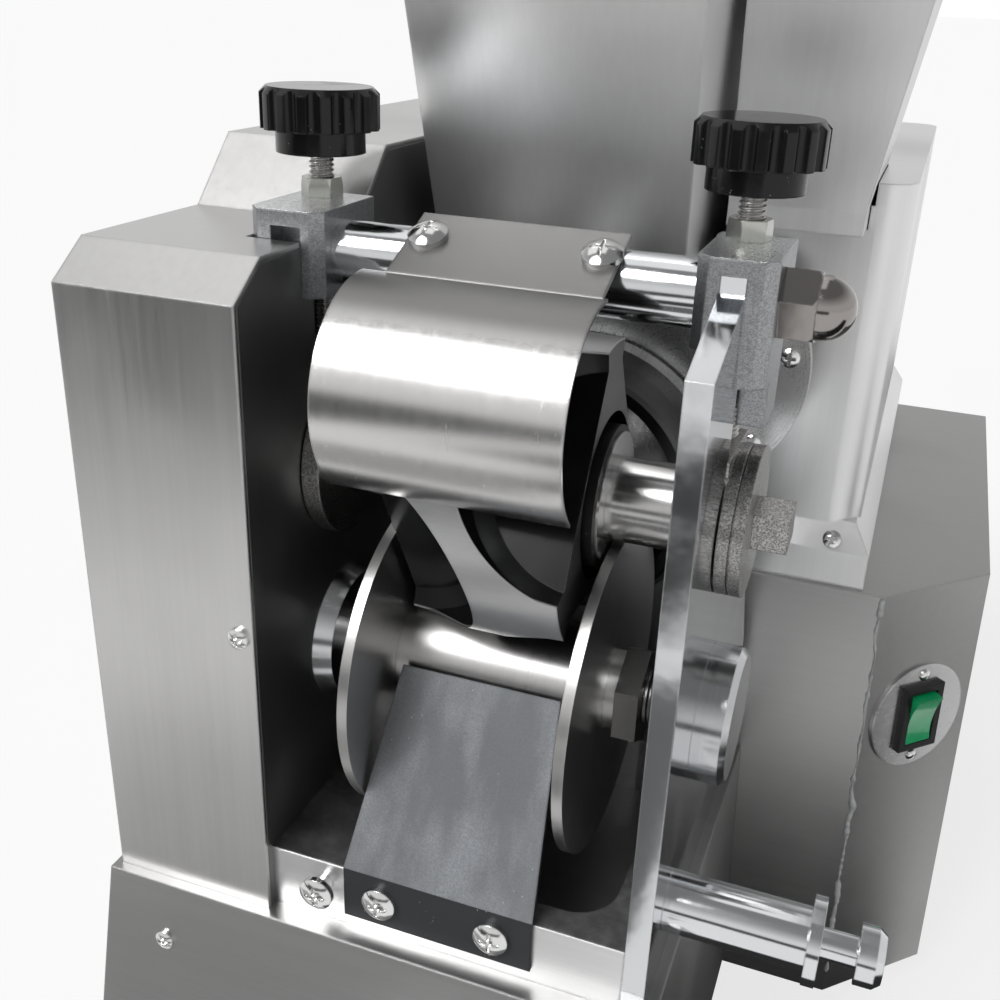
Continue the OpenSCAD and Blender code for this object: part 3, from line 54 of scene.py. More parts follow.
TURN = 2 * math.pi
WHITE = (1.0, 1.0, 1.0, 1.0)
Colour = tuple[float, float, float]
Point = tuple[float, float, float]


class Axis(Enum):
    """The three directions of the machine's frame."""

    X = 0
    Y = 1
    Z = 2


class Val:
    """One shader value: a socket that can be added, multiplied and compared in Python."""

    def __init__(self, graph: "Graph", socket: Optional[bpy.types.NodeSocket]) -> None:
        """Keeps the socket, which an output node doesn't have, and the graph that it belongs to."""
        self.graph = graph
        self.socket = socket

    def _math(self, operation: str, *others: Any, flip: bool = False) -> "Val":
        """Adds one Math node.

        Args:
            operation: the Math node's operation.
            others: the values that come after this one.
            flip: True where this value comes second.

        Returns:
            The node's result.
        """
        terms = [self, *others]
        if flip:
            terms.reverse()
        return self.graph.node("ShaderNodeMath", {"operation": operation}, dict(enumerate(terms)))

    def __add__(self, other: Any) -> "Val":
        """The sum."""
        return self._math("ADD", other)

    def __radd__(self, other: Any) -> "Val":
        """The sum, with a number first."""
        return self._math("ADD", other, flip=True)

    def __sub__(self, other: Any) -> "Val":
        """The difference."""
        return self._math("SUBTRACT", other)

    def __rsub__(self, other: Any) -> "Val":
        """A number less this value."""
        return self._math("SUBTRACT", other, flip=True)

    def __mul__(self, other: Any) -> "Val":
        """The product."""
        return self._math("MULTIPLY", other)

    def __pow__(self, other: Any) -> "Val":
        """This value raised to a power."""
        return self._math("POWER", other)

    def size(self) -> "Val":
        """The value without its sign."""
        return self._math("ABSOLUTE")

    def root(self) -> "Val":
        """The square root."""
        return self._math("SQRT")

    def step(self, low: float, high: float) -> "Val":
        """A smooth rise from 0 at low to 1 at high."""
        settings = {"interpolation_type": "SMOOTHSTEP", "clamp": True}
        return self.graph.node("ShaderNodeMapRange", settings, {0: self, 1: low, 2: high, 3: 0.0, 4: 1.0})


class Graph:
    """The nodes of one material or of the room, and the few patterns that the finishes share."""

    def __init__(self, name: str, room: bool = False) -> None:
        """Starts an empty material of that name, or an empty room."""
        self.owner = bpy.data.worlds.new(name) if room else bpy.data.materials.new(name)
        self.owner.use_nodes = True
        self.tree = self.owner.node_tree
        self.tree.nodes.clear()
        self._place: Optional[Val] = None

    def node(self, kind: str, settings: Optional[dict[str, Any]] = None,
             sockets: Optional[dict[Union[str, int], Any]] = None, out: Union[str, int] = 0) -> Val:
        """Adds one node; every node of the scene comes from here.

        Args:
            kind: the node's type.
            settings: its properties; "stops" holds a ramp's positions and colours.
            sockets: a value or a link for each input, by place, identifier or name.
            out: the output that is handed on.

        Returns:
            That output, or an empty value where the node has none.
        """
        made = self.tree.nodes.new(kind)
        for key, value in (settings or {}).items():
            if key == "stops":
                self._stops(made.color_ramp, value)
            else:
                setattr(made, key, value)
        for key, value in (sockets or {}).items():
            socket = self._input(made, key)
            if isinstance(value, Val):
                self.tree.links.new(value.socket, socket)
            else:
                socket.default_value = value
        return Val(self, made.outputs[out] if len(made.outputs) else None)

    @staticmethod
    def _stops(ramp: bpy.types.ColorRamp, stops: Sequence[tuple[float, float]]) -> None:
        """Sets a ramp's grey stops, in order."""
        while len(ramp.elements) < len(stops):
            ramp.elements.new(1.0)
        for element, (position, grey) in zip(ramp.elements, stops):
            element.position = position
            element.color = (grey, grey, grey, 1.0)

    @staticmethod
    def _input(made: bpy.types.Node, key: Union[str, int]) -> bpy.types.NodeSocket:
        """Finds an input by its place, or by its identifier, or by its name."""
        if isinstance(key, int):
            return made.inputs[key]
        for socket in made.inputs:
            if socket.identifier == key:
                return socket
        return made.inputs[key]

    def place(self) -> Val:
        """The point on the piece, in metres."""
        if self._place is None:
            self._place = self.node("ShaderNodeTexCoord", out="Object")
        return self._place

    def along(self, axis: Axis) -> Val:
        """One coordinate of the point."""
        return self.node("ShaderNodeSeparateXYZ", None, {0: self.place()}, out=axis.value)

    def radius(self, axis: Axis, centre: Point) -> Val:
        """The distance from a line through the centre along the axis."""
        squares = [(self.along(a) - centre[a.value]) ** 2.0 for a in Axis if a is not axis]
        return (squares[0] + squares[1]).root()

    def stretched(self, scale: Point) -> Val:
        """The point, with each coordinate multiplied, which draws a noise out into a grain."""
        return self.node("ShaderNodeVectorMath", {"operation": "MULTIPLY"}, {0: self.place(), 1: scale})

    def noise(self, scale: float, detail: float = 2.0, rough: float = 0.5, at: Optional[Val] = None) -> Val:
        """Soft noise from 0 to 1, about 0.5 in the middle."""
        inputs = {"Vector": at or self.place(), "Scale": scale, "Detail": detail, "Roughness": rough}
        return self.node("ShaderNodeTexNoise", None, inputs)

    def cells(self, scale: float, out: str = "Distance") -> Val:
        """Scattered points: the distance to the nearest, or its own random colour."""
        return self.node("ShaderNodeTexVoronoi", None, {"Vector": self.place(), "Scale": scale}, out=out)

    def mix(self, share: Any, first: Any, second: Any) -> Val:
        """A colour that goes from the first to the second."""
        colours = {"Factor_Float": share, "A_Color": self._rgba(first), "B_Color": self._rgba(second)}
        made = self.node("ShaderNodeMix", {"data_type": "RGBA"}, colours)
        return Val(self, made.socket.node.outputs[2])

    @staticmethod
    def _rgba(colour: Any) -> Any:
        """A plain colour with its alpha, or a link as it is."""
        return colour if isinstance(colour, Val) else (*colour, 1.0)

    def lines(self, across: Val, lay: Val, scale: float) -> Val:
        """Noise that only changes with two measures, such as a radius and the way along an axis."""
        spot = self.node("ShaderNodeCombineXYZ", None, {0: across * scale, 1: lay * scale})
        return self.noise(1.0, 3.0, 0.6, spot)

    def facing(self, axis: Axis) -> Val:
        """How far the surface faces along an axis, from -1 to 1."""
        normal = self.node("ShaderNodeNewGeometry", out="Normal")
        return self.node("ShaderNodeSeparateXYZ", None, {0: normal}, out=axis.value)

    def bump(self, height: Val, depth: float, strength: float = 1.0, edge: float = 0.0006) -> Val:
        """A normal that follows a height, where 1 stands for depth metres, over edges rounded to a radius."""
        soft = self.node("ShaderNodeBevel", {"samples": 2}, {"Radius": edge})
        return self.node("ShaderNodeBump", None, {"Height": height, "Distance": depth, "Strength": strength,
                                                  "Normal": soft})

    def finish(self, **inputs: Any) -> bpy.types.Material:
        """Closes the graph with one shader.

        Args:
            inputs: its sockets, with underscores for spaces; colours as three numbers.

        Returns:
            The material.
        """
        named = {}
        for key, value in inputs.items():
            wide = isinstance(value, tuple) and len(value) == 3
            named[key.replace("_", " ")] = (*value, 1.0) if wide else value
        self.close(self.node("ShaderNodeBsdfPrincipled", None, named))
        return self.owner

    def close(self, shader: Val, kind: str = "ShaderNodeOutputMaterial") -> None:
        """Links the shader to the output."""
        self.node(kind, None, {"Surface": shader})


def grey(level: float, warm: float = 0.0) -> Colour:
    """A grey of that level, warmed towards red or, below 0, cooled towards blue."""
    return (level * (1 + warm), level, level * (1 - warm))


@dataclass(frozen=True)
class BrushedSheet:
    """Stainless sheet: a fine short grain, long soft streaks, faint smears and a few scratches.

    Above a given height, painted shade darkens the sheet, standing in for the dark reflection there, and the
    gloss is dulled; grime settles on the faces that look up.
    """

    name: str
    tone: Colour
    grain: Point
    rough: float = 0.3
    streak: float = 0.07
    smear: float = 0.1
    painted_shade_and_dulling: float = 0.0
    painted_shade_from: float = 0.0
    grime: float = 0.0

    def material(self) -> bpy.types.Material:
        """Grain and streaks as noise drawn out along the sheet, smears as slow noise on the gloss."""
        g = Graph(self.name)
        fine = g.noise(1.0, 2.0, 0.5, g.stretched(tuple(5.0 * s for s in self.grain)))
        streak = g.noise(1.0, 3.0, 0.55, g.stretched(tuple(0.35 * s for s in self.grain)))
        smear = g.noise(9.0, 3.0, 0.5).step(0.45, 0.75)
        scratch = g.noise(1.0, 1.0, 0.4, g.stretched(tuple(0.9 * s for s in self.grain))).step(0.7, 0.78)
        shade = (streak - 0.5) * (self.streak * 8) + (fine - 0.5) * (self.streak * 6) + 0.5
        tone = g.mix(shade, grey_of(self.tone, 0.88), grey_of(self.tone, 1.12))
        tone = g.mix(smear * self.smear, tone, grey_of(self.tone, 0.72))
        rough = self.rough + (streak - 0.5) * self.streak + (fine - 0.5) * 0.08 + smear * self.smear
        # Painted shade: above the given height the tone is darkened for the dark reflection there, and the
        # roughness is raised.
        if self.painted_shade_and_dulling:
            painted_shade_and_dulling = g.along(Axis.Z).step(self.painted_shade_from - 0.003, self.painted_shade_from + 0.003) * self.painted_shade_and_dulling
            tone = g.mix(painted_shade_and_dulling, tone, grey_of(self.tone, 0.35))
            rough = rough + painted_shade_and_dulling * 0.2
        if self.grime:
            patch = g.noise(40.0, 5.0, 0.65).step(0.4, 0.75)
            settled = g.facing(Axis.Z).step(0.5, 0.9) * (1 - patch * 0.5) * self.grime
            tone = g.mix(settled, tone, grey_of(self.tone, 0.16))
            rough = rough + settled * 0.2
        return g.finish(Base_Color=tone, Metallic=1.0, Roughness=rough + scratch * 0.04,
                        Normal=g.bump(fine + scratch * 0.5, depth=0.000006, strength=0.4, edge=0.0012))


def grey_of(tone: Colour, share: float) -> Colour:
    """The tone made darker or lighter by a share."""
    return tuple(min(1.0, c * share) for c in tone)


@dataclass(frozen=True)
class TurnedSteel:
    """Steel from the lathe: uneven fine rings round an axis, a thin film of oil and grime."""

    name: str
    tone: Colour
    axis: Axis
    centre: Point
    rough: float = 0.2
    grime: float = 0.25
    rings: float = 1500.0

    def material(self) -> bpy.types.Material:
        """Rings as noise of the radius and of the way along the axis, grime as slow noise."""
        g = Graph(self.name)
        rings = g.lines(g.radius(self.axis, self.centre), g.along(self.axis), self.rings)
        fine = g.noise(1800.0, 2.0)
        dirt = g.noise(34.0, 5.0, 0.62).step(0.5, 0.8) * self.grime
        tone = g.mix(rings * 0.6 + fine * 0.3, grey_of(self.tone, 0.92), grey_of(self.tone, 1.07))
        tone = g.mix(dirt, tone, grey_of(self.tone, 0.42))
        rough = self.rough + (rings - 0.5) * 0.1 + dirt * 0.35 + (fine - 0.5) * 0.06
        return g.finish(Base_Color=tone, Metallic=1.0, Roughness=rough,
                        Normal=g.bump(rings + fine * 0.3, depth=0.000004, strength=0.3, edge=0.0004))


@dataclass(frozen=True)
class BlastedSteel:
    """Steel blasted with grit: small dark pits between bright grains, stained in soft patches."""

    name: str
    tone: Colour
    rough: float = 0.36
    grit: float = 1700.0

    def material(self) -> bpy.types.Material:
        """Grains as fine noise in tone, gloss and height, stains as slow noise."""
        g = Graph(self.name)
        grain = g.noise(self.grit, 2.0, 0.6).step(0.34, 0.68)
        stain = g.noise(70.0, 4.0, 0.6).step(0.42, 0.75)
        tone = g.mix(grain, grey_of(self.tone, 0.55), grey_of(self.tone, 1.5))
        tone = g.mix(stain * 0.45, tone, grey_of(self.tone, 0.5))
        return g.finish(Base_Color=tone, Metallic=1.0, Roughness=self.rough - grain * 0.1 + stain * 0.08,
                        Normal=g.bump(grain, depth=0.00002, strength=0.5, edge=0.0008))


@dataclass(frozen=True)
class Chrome:
    """Plated steel: bright, with polishing ripple, finger smears and a few specks."""

    name: str
    tone: Colour = (0.72, 0.735, 0.75)
    rough: float = 0.09
    smear: float = 0.16

    def material(self) -> bpy.types.Material:
        """A slow ripple in the normal and smears on the roughness."""
        g = Graph(self.name)
        ripple = g.noise(75.0, 2.0, 0.5)
        smear = g.noise(28.0, 5.0, 0.6).step(0.48, 0.78)
        speck = 1 - g.cells(820.0).step(0.05, 0.11)
        pick = g.noise(60.0, 1.0).step(0.58, 0.62)
        dots = speck * pick
        tone = g.mix(smear * self.smear + dots * 0.5, self.tone, grey_of(self.tone, 0.55))
        return g.finish(Base_Color=tone, Metallic=1.0, Roughness=self.rough + smear * self.smear + dots * 0.25,
                        Normal=g.bump(ripple, depth=0.00025, strength=0.25))


@dataclass(frozen=True)
class CastZinc:
    """Plated casting: a crust of small bright flakes, made brightest on its upper faces by a painted highlight,
    with painted shade on its sides, which are also duller and streaked down.
    """

    name: str
    tone: Colour = (0.64, 0.66, 0.685)
    flake: float = 3200.0

    def material(self) -> bpy.types.Material:
        """Each small cell has its own shade and gloss; a painted highlight makes the flakes strongest where the
        surface faces up, and painted shade darkens the sides.
        """
        g = Graph(self.name)
        cell = g.node("ShaderNodeSeparateColor", None, {0: g.cells(self.flake, "Color")})
        speck = (cell * 0.65 + g.noise(900.0, 2.0) * 0.7).step(0.45, 0.95)
        top = g.facing(Axis.Z).step(0.2, 0.7)
        run = g.noise(1.0, 3.0, 0.55, g.stretched((420.0, 420.0, 45.0)))
        # Painted highlight: the flakes brighten most on faces that look up. Painted shade: the sides are made
        # darker than the top.
        share = speck * (0.2 + top * 0.8)
        tone_with_painted_side_shade = g.mix(top, grey_of(self.tone, 0.42), grey_of(self.tone, 0.85))
        tone = g.mix(share, tone_with_painted_side_shade, grey_of(self.tone, 2.1))
        tone = g.mix((1 - top) * run.step(0.45, 0.7) * 0.4, tone, grey_of(self.tone, 0.6))
        return g.finish(Base_Color=tone, Metallic=1.0, Roughness=0.36 - share * 0.14,
                        Normal=g.bump(speck + run * 0.6, depth=0.00003, strength=0.4, edge=0.001))


@dataclass(frozen=True)
class DrumSteel:
    """The forming drum: satin lands, glossy pockets painted near-black as painted shade and dark reflection,
    and dull ends.
    """

    name: str
    centre: Point
    land_r: float
    half: float
    land: Colour = (0.52, 0.52, 0.525)
    pocket_painted_dark: Colour = (0.006, 0.006, 0.0065)
    end: Colour = (0.13, 0.127, 0.126)

    def material(self) -> bpy.types.Material:
        """The radius says what is land and what is pocket, the way along the axis what is end."""
        g = Graph(self.name)
        r = g.radius(Axis.X, self.centre)
        off = (g.along(Axis.X) - self.centre[0]).size()
        land = r.step(self.land_r - 0.0009, self.land_r - 0.0003)
        tip = off.step(self.half - 0.00012, self.half - 0.00004) * (1 - land)
        fine = g.noise(1.0, 3.0, 0.6, g.stretched((160.0, 2600.0, 2600.0)))
        grime = g.noise(55.0, 4.0, 0.6).step(0.45, 0.8)
        flats = g.mix(fine, grey_of(self.land, 0.9), grey_of(self.land, 1.08))
        # Painted shade: the pockets' near-black colour stands in for the shade and dark reflections in them,
        # with grime in patches.
        pocket_shade_and_grime = g.mix(grime, self.pocket_painted_dark, grey_of(self.pocket_painted_dark, 0.6))
        tone = g.mix(land, pocket_shade_and_grime, flats)
        tone = g.mix(tip, tone, self.end)
        rough = 0.17 + land * 0.16 + tip * 0.2 + (fine - 0.5) * 0.06 + grime * 0.05
        return g.finish(Base_Color=tone, Metallic=land + tip, Roughness=rough, Specular_IOR_Level=0.3,
                        Normal=g.bump(fine, depth=0.000008, strength=0.4))


@dataclass(frozen=True)
class DarkSheet:
    """The chute's dark coated sheet: matt, rubbed paler down its middle, with flour dust and specks."""

    name: str
    tone: Colour = (0.026, 0.028, 0.031)
    dust: Colour = (0.33, 0.345, 0.365)

    def material(self) -> bpy.types.Material:
        """Flour lies in blocky, grainy smears on the slope and hardly on the upright lip."""
        g = Graph(self.name)
        rub = g.noise(1.0, 3.0, 0.55, g.stretched((60.0, 22.0, 22.0))).step(0.42, 0.7)
        haze = g.noise(16.0, 4.0, 0.6).step(0.4, 0.72)
        slope = g.facing(Axis.Z).step(0.2, 0.45)
        fine = g.noise(1500.0, 2.0, 0.6)
        grain = (1 - g.cells(520.0).step(0.05, 0.12)) * g.noise(90.0, 1.0).step(0.58, 0.64)
        flour = (0.33 + rub * 0.22 + haze * 0.1 + (fine - 0.5) * (0.15 + rub * 0.5)) * slope
        tone = g.mix(flour, self.tone, self.dust)
        tone = g.mix(grain * 0.7, tone, (0.6, 0.61, 0.6))
        return g.finish(Base_Color=tone, Metallic=0.2, Roughness=0.42 + haze * 0.12 + slope * 0.1,
                        Specular_IOR_Level=0.3,
                        Normal=g.bump(fine + grain, depth=0.00003, strength=0.5, edge=0.0012))


@dataclass(frozen=True)
class Moulding:
    """Moulded plastic or rubber with a faint skin, dust and rubbed places."""

    name: str
    tone: Colour
    rough: float
    specular: float = 0.3
    dust: float = 0.3
    skin: float = 900.0

    def material(self) -> bpy.types.Material:
        """Fine skin in the bump, dust as scattered grains, rubs as slow noise on the gloss."""
        g = Graph(self.name)
        skin = g.noise(self.skin, 3.0, 0.55)
        rub = g.noise(46.0, 4.0, 0.6).step(0.45, 0.75)
        grain = (1 - g.cells(640.0).step(0.04, 0.13)) * g.noise(110.0, 1.0).step(0.52, 0.6)
        tone = g.mix(rub * 0.25, self.tone, grey_of(self.tone, 1.9))
        tone = g.mix(grain * self.dust, tone, (0.45, 0.45, 0.44))
        return g.finish(Base_Color=tone, Metallic=0.0, Roughness=self.rough + rub * 0.1 + grain * 0.3,
                        Specular_IOR_Level=self.specular,
                        Normal=g.bump(skin, depth=0.00003, strength=0.3, edge=0.0008))


@dataclass(frozen=True)
class LitRocker:
    """The switch's clear green rocker: glossy and faintly clouded; its deeper colour towards the lower end is
    not drawn.
    """

    name: str
    tone: Colour = (0.005, 0.2, 0.075)

    def material(self) -> bpy.types.Material:
        """A slight cloud in the moulding's colour and gloss, and a faint green glow."""
        g = Graph(self.name)
        cloud = g.noise(120.0, 3.0, 0.5)
        tone = g.mix(cloud * 0.8, grey_of(self.tone, 0.7), grey_of(self.tone, 1.9))
        return g.finish(Base_Color=tone, Metallic=0.0, Roughness=0.14 + cloud * 0.08, Coat_Weight=0.6,
                        Emission_Color=(0.0, 0.25, 0.08), Emission_Strength=0.12)


@dataclass(frozen=True)
class CastPaint:
    """Painted casting: orange-peel skin, scuffs and settled dust."""

    name: str
    tone: Colour
    rough: float = 0.42

    def material(self) -> bpy.types.Material:
        """Peel in the bump, scuffs that lighten, dust from slow noise."""
        g = Graph(self.name)
        peel = g.noise(420.0, 2.0, 0.5)
        scuff = g.noise(60.0, 5.0, 0.65).step(0.6, 0.8)
        tone = g.mix(scuff * 0.4, grey_of(self.tone, 0.92), grey_of(self.tone, 1.5))
        return g.finish(Base_Color=tone, Metallic=0.0, Roughness=self.rough + scuff * 0.2,
                        Normal=g.bump(peel, depth=0.00008, strength=0.6))


@dataclass(frozen=True)
class Sealant:
    """A smeared bead of grey sealant, lumpy and dull."""

    name: str
    tone: Colour = (0.42, 0.43, 0.43)

    def material(self) -> bpy.types.Material:
        """Lumps at two scales, with dirt in patches of its own."""
        g = Graph(self.name)
        lump = g.noise(340.0, 4.0, 0.6)
        dirt = g.noise(120.0, 3.0, 0.6).step(0.4, 0.75)
        tone = g.mix(dirt * 0.7, self.tone, grey_of(self.tone, 0.4))
        return g.finish(Base_Color=tone, Metallic=0.25, Roughness=0.45 + dirt * 0.2,
                        Normal=g.bump(lump, depth=0.0004, strength=0.8))


def head(x: float, y: float, z: float) -> Point:
    """A point given from the rolls' mid-plane, axis line and deck, in millimetres, as metres in the frame."""
    return ((x - 14.0) * MM, (y - 143.0) * MM, (z + 160.0) * MM)


ROLL_MID = head(0.0, 0.0, 127.0)
SPOOL_MID = head(1.0, 0.0, 57.0)
KNOB_RIGHT = head(65.0, 6.0, 230.0)
KNOB_LEFT = head(-70.5, 6.0, 230.0)
ALONG_X: Point = (14.0, 1100.0, 1100.0)
ALONG_Z: Point = (1100.0, 1100.0, 14.0)


class Look(Enum):
    """Every finish on the machine."""

    COVER = BrushedSheet("brushed_cover", grey(0.62, 0.008), ALONG_Z, 0.3, 0.06)
    # The guard's last two numbers: the share of painted shade over its upper part, standing in for a dark
    # reflection, and the height where it starts.
    GUARD = BrushedSheet("brushed_guard", grey(0.64, 0.012), ALONG_Z, 0.24, 0.06, 0.04, 0.92, 0.35)
    BASE = BrushedSheet("brushed_base", grey(0.4, 0.006), ALONG_X, 0.34)
    BOX = BrushedSheet("brushed_box", grey(0.74), ALONG_Z, 0.3, 0.05)
    WALL = BrushedSheet("inner_wall", grey(0.2), ALONG_Z, 0.42, 0.06, 0.25)
    HOPPER = BrushedSheet("brushed_hopper", grey(0.74), ALONG_Z, 0.4, 0.05)
    FLOOR = BrushedSheet("mill_floor_sheet", grey(0.4), ALONG_X, 0.4)
    DECK = BrushedSheet("ground_deck", grey(0.8), ALONG_X, 0.34, grime=0.9)
    PLATE = BrushedSheet("switch_panel", grey(0.62), ALONG_X, 0.25)
    CHROME = Chrome("chromed_steel")
    CHROME_PLATE = Chrome("chromed_side_plate", (0.67, 0.685, 0.7), 0.09, 0.14)
    SCREW = Chrome("bright_screw", (0.75, 0.75, 0.745), 0.13, 0.2)
    NUT = Chrome("zinc_nut", (0.48, 0.485, 0.45), 0.17, 0.12)
    ACORN = Chrome("acorn_nut", (0.33, 0.31, 0.3), 0.1, 0.2)
    ZINC = CastZinc("zinc_casting")
    DRUM = DrumSteel("forming_drum", ROLL_MID, 0.05, 0.031)
    ROLL = TurnedSteel("turned_roll", grey(0.55, 0.01), Axis.X, ROLL_MID)
    SPOOL = TurnedSteel("turned_spool", grey(0.5, 0.012), Axis.X, SPOOL_MID, 0.3, 0.3)
    CAP = TurnedSteel("bearing_cap", grey(0.58, -0.02), Axis.X, SPOOL_MID, 0.17, 0.2)
    BUSH = BlastedSteel("blasted_bush", grey(0.36, 0.02))
    NUT_DARK = TurnedSteel("dark_nut", grey(0.16, 0.02), Axis.X, SPOOL_MID, 0.32, 0.5)
    STUD_RIGHT = TurnedSteel("stud_right", grey(0.5, 0.02), Axis.Z, KNOB_RIGHT, 0.24, 0.3)
    STUD_LEFT = TurnedSteel("stud_left", grey(0.5, 0.02), Axis.Z, KNOB_LEFT, 0.24, 0.3)
    GEAR = TurnedSteel("cut_gear", grey(0.36, 0.01), Axis.X, ROLL_MID, 0.3, 0.55)
    FEED = TurnedSteel("feed_steel", grey(0.52), Axis.Y, head(0.0, 0.0, 100.0), 0.25, 0.2)
    PUMP = TurnedSteel("pump_steel", grey(0.56), Axis.Y, head(32.0, 0.0, 147.0), 0.28, 0.15)
    RING_BLACK = TurnedSteel("black_ring", grey(0.09), Axis.Y, head(0.0, 0.0, 100.0), 0.3, 0.1, 300.0)
    CHUTE = DarkSheet("dark_chute")
    NYLON = Moulding("black_nylon", grey(0.008), 0.4, 0.25, 0.4, 700.0)
    KNOB = Moulding("black_knob", grey(0.004), 0.12, 0.32, 0.5)
    BEZEL = Moulding("black_bezel", grey(0.008), 0.3, 0.25, 0.15)
    RUBBER = Moulding("foot_rubber", grey(0.03), 0.62, 0.3, 0.2, 500.0)
    ROCKER = LitRocker("green_rocker")
    GEARBOX = CastPaint("gearbox_paint", grey(0.22, -0.04))
    MOTOR = CastPaint("motor_paint", (0.05, 0.07, 0.09))
    SEALANT = Sealant("corner_sealant")


class Wardrobe:
    """Makes each finish once and puts it on the pieces."""

    def __init__(self) -> None:
        """Starts with nothing made."""
        self._made: dict[Look, bpy.types.Material] = {}

    def material(self, look: Look) -> bpy.types.Material:
        """The finish's material, made on first use."""
        if look not in self._made:
            self._made[look] = look.value.material()
        return self._made[look]

    def dress(self, look: Look, *nodes: str) -> None:
        """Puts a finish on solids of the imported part, by name."""
        for name in nodes:
            self.put(look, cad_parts[name])

    def put(self, look: Look, piece: bpy.types.Object) -> None:
        """Puts a finish on one piece."""
        piece.data.materials.clear()
        piece.data.materials.append(self.material(look))
        LOG.info("%s: %s", piece.name, look.value.name)


def sheet_piece(name: str, points: np.ndarray, round_u: bool, close_v: bool) -> bpy.types.Object:
    """Makes a piece from a grid of points.

    Args:
        name: the piece's name.
        points: an array of rows v, columns u and three coordinates.
        round_u: True where the last column joins the first.
        close_v: True where the first and the last row each close on their middle.

    Returns:
        The piece, smooth, at the origin.
    """
    rows, columns, _ = points.shape
    number = np.arange(rows * columns).reshape(rows, columns)
    if round_u:
        number = np.hstack([number, number[:, :1]])
    corners = [number[:-1, :-1], number[:-1, 1:], number[1:, 1:], number[1:, :-1]]
    quads = np.stack(corners, axis=-1).reshape(-1, 4)
    vertices = points.reshape(-1, 3)
    faces: list[list[int]] = quads.tolist()
    if close_v:
        ends = np.stack([points[0].mean(axis=0), points[-1].mean(axis=0)])
        first, last = len(vertices), len(vertices) + 1
        vertices = np.vstack([vertices, ends])
        low = np.stack([np.full(number.shape[1] - 1, first), number[0, 1:], number[0, :-1]], axis=-1)
        high = np.stack([np.full(number.shape[1] - 1, last), number[-1, :-1], number[-1, 1:]], axis=-1)
        faces += low.tolist() + high.tolist()
    mesh = bpy.data.meshes.new(name)
    mesh.from_pydata(vertices.tolist(), [], faces)
    mesh.polygons.foreach_set("use_smooth", np.ones(len(mesh.polygons), bool))
    mesh.validate()
    mesh.update()
    piece = bpy.data.objects.new(name, mesh)
    bpy.context.scene.collection.objects.link(piece)
    return piece


def thread_grid(axis: Axis, centre: Point, start: float, end: float, major: float, depth: float,
                pitch: float, sides: int = 48, steps: int = 8, run_out: float = 0.6,
                crest: float = 1.25) -> np.ndarray:
    """A rod's screw thread: the radius falls from crest to root as a triangle wave of (way - angle x pitch).

    Args:
        axis: the rod's direction.
        centre: any point on its axis.
        start: the lower end along the axis.
        end: the upper end.
        major: the radius at the crests.
        depth: from crest to root.
        pitch: the advance in one turn.
        sides: points round the rod.
        steps: points along one pitch.
        run_out: the pitches over which the thread fades at each end.
        crest: above 1, how far the wave is cut off flat at its crests.

    Returns:
        The grid of points, with rows along the rod.
    """
    way = np.linspace(start, end, max(2, int((end - start) / pitch * steps)))[:, None]
    angle = np.linspace(0.0, TURN, sides, endpoint=False)[None, :]
    phase = (way / pitch - angle / TURN) % 1.0
    tooth = np.abs(2.0 * phase - 1.0)
    fade = np.minimum(1.0, np.minimum(way - start, end - way) / (run_out * pitch))
    radius = major - depth * (1.0 - np.clip(crest * tooth, 0.0, 1.0) * fade)
    return round_grid(axis, centre, way, radius, angle)


def round_grid(axis: Axis, centre: Point, way: np.ndarray, radius: np.ndarray, angle: np.ndarray) -> np.ndarray:
    """Points at a radius and an angle about an axis, at a way along it.

    Args:
        axis: the direction of the axis.
        centre: a point on it.
        way: the coordinate along it.
        radius: the distance from it.
        angle: the angle round it.

    Returns:
        The grid of points, whose faces point outwards for a rising way.
    """
    way, radius, angle = np.broadcast_arrays(way, radius, angle)
    grid = np.empty((*way.shape, 3))
    first, second = (axis.value + 1) % 3, (axis.value + 2) % 3
    grid[..., axis.value] = way
    grid[..., first] = centre[first] + radius * np.cos(angle)
    grid[..., second] = centre[second] + radius * np.sin(angle)
    return grid


def tube_grid(path: np.ndarray, radius: np.ndarray, up: Point, sides: int = 14) -> np.ndarray:
    """A tube: circles set square to a path, each of its own radius.

    Args:
        path: the points of the middle line.
        radius: one radius for each point, or for each point and side.
        up: a direction that is never along the path.
        sides: points round the tube.

    Returns:
        The grid of points, with rows along the path.
    """
    ahead = np.gradient(path, axis=0)
    ahead /= np.linalg.norm(ahead, axis=1, keepdims=True)
    side = np.cross(np.asarray(up, float), ahead)
    side /= np.linalg.norm(side, axis=1, keepdims=True)
    top = np.cross(ahead, side)
    angle = np.linspace(0.0, TURN, sides, endpoint=False)
    radius = np.broadcast_to(radius if radius.ndim == 2 else radius[:, None], (len(path), sides))
    cosine, sine = np.cos(angle)[None, :, None], np.sin(angle)[None, :, None]
    circle = cosine * side[:, None, :] + sine * top[:, None, :]
    return path[:, None, :] + radius[..., None] * circle


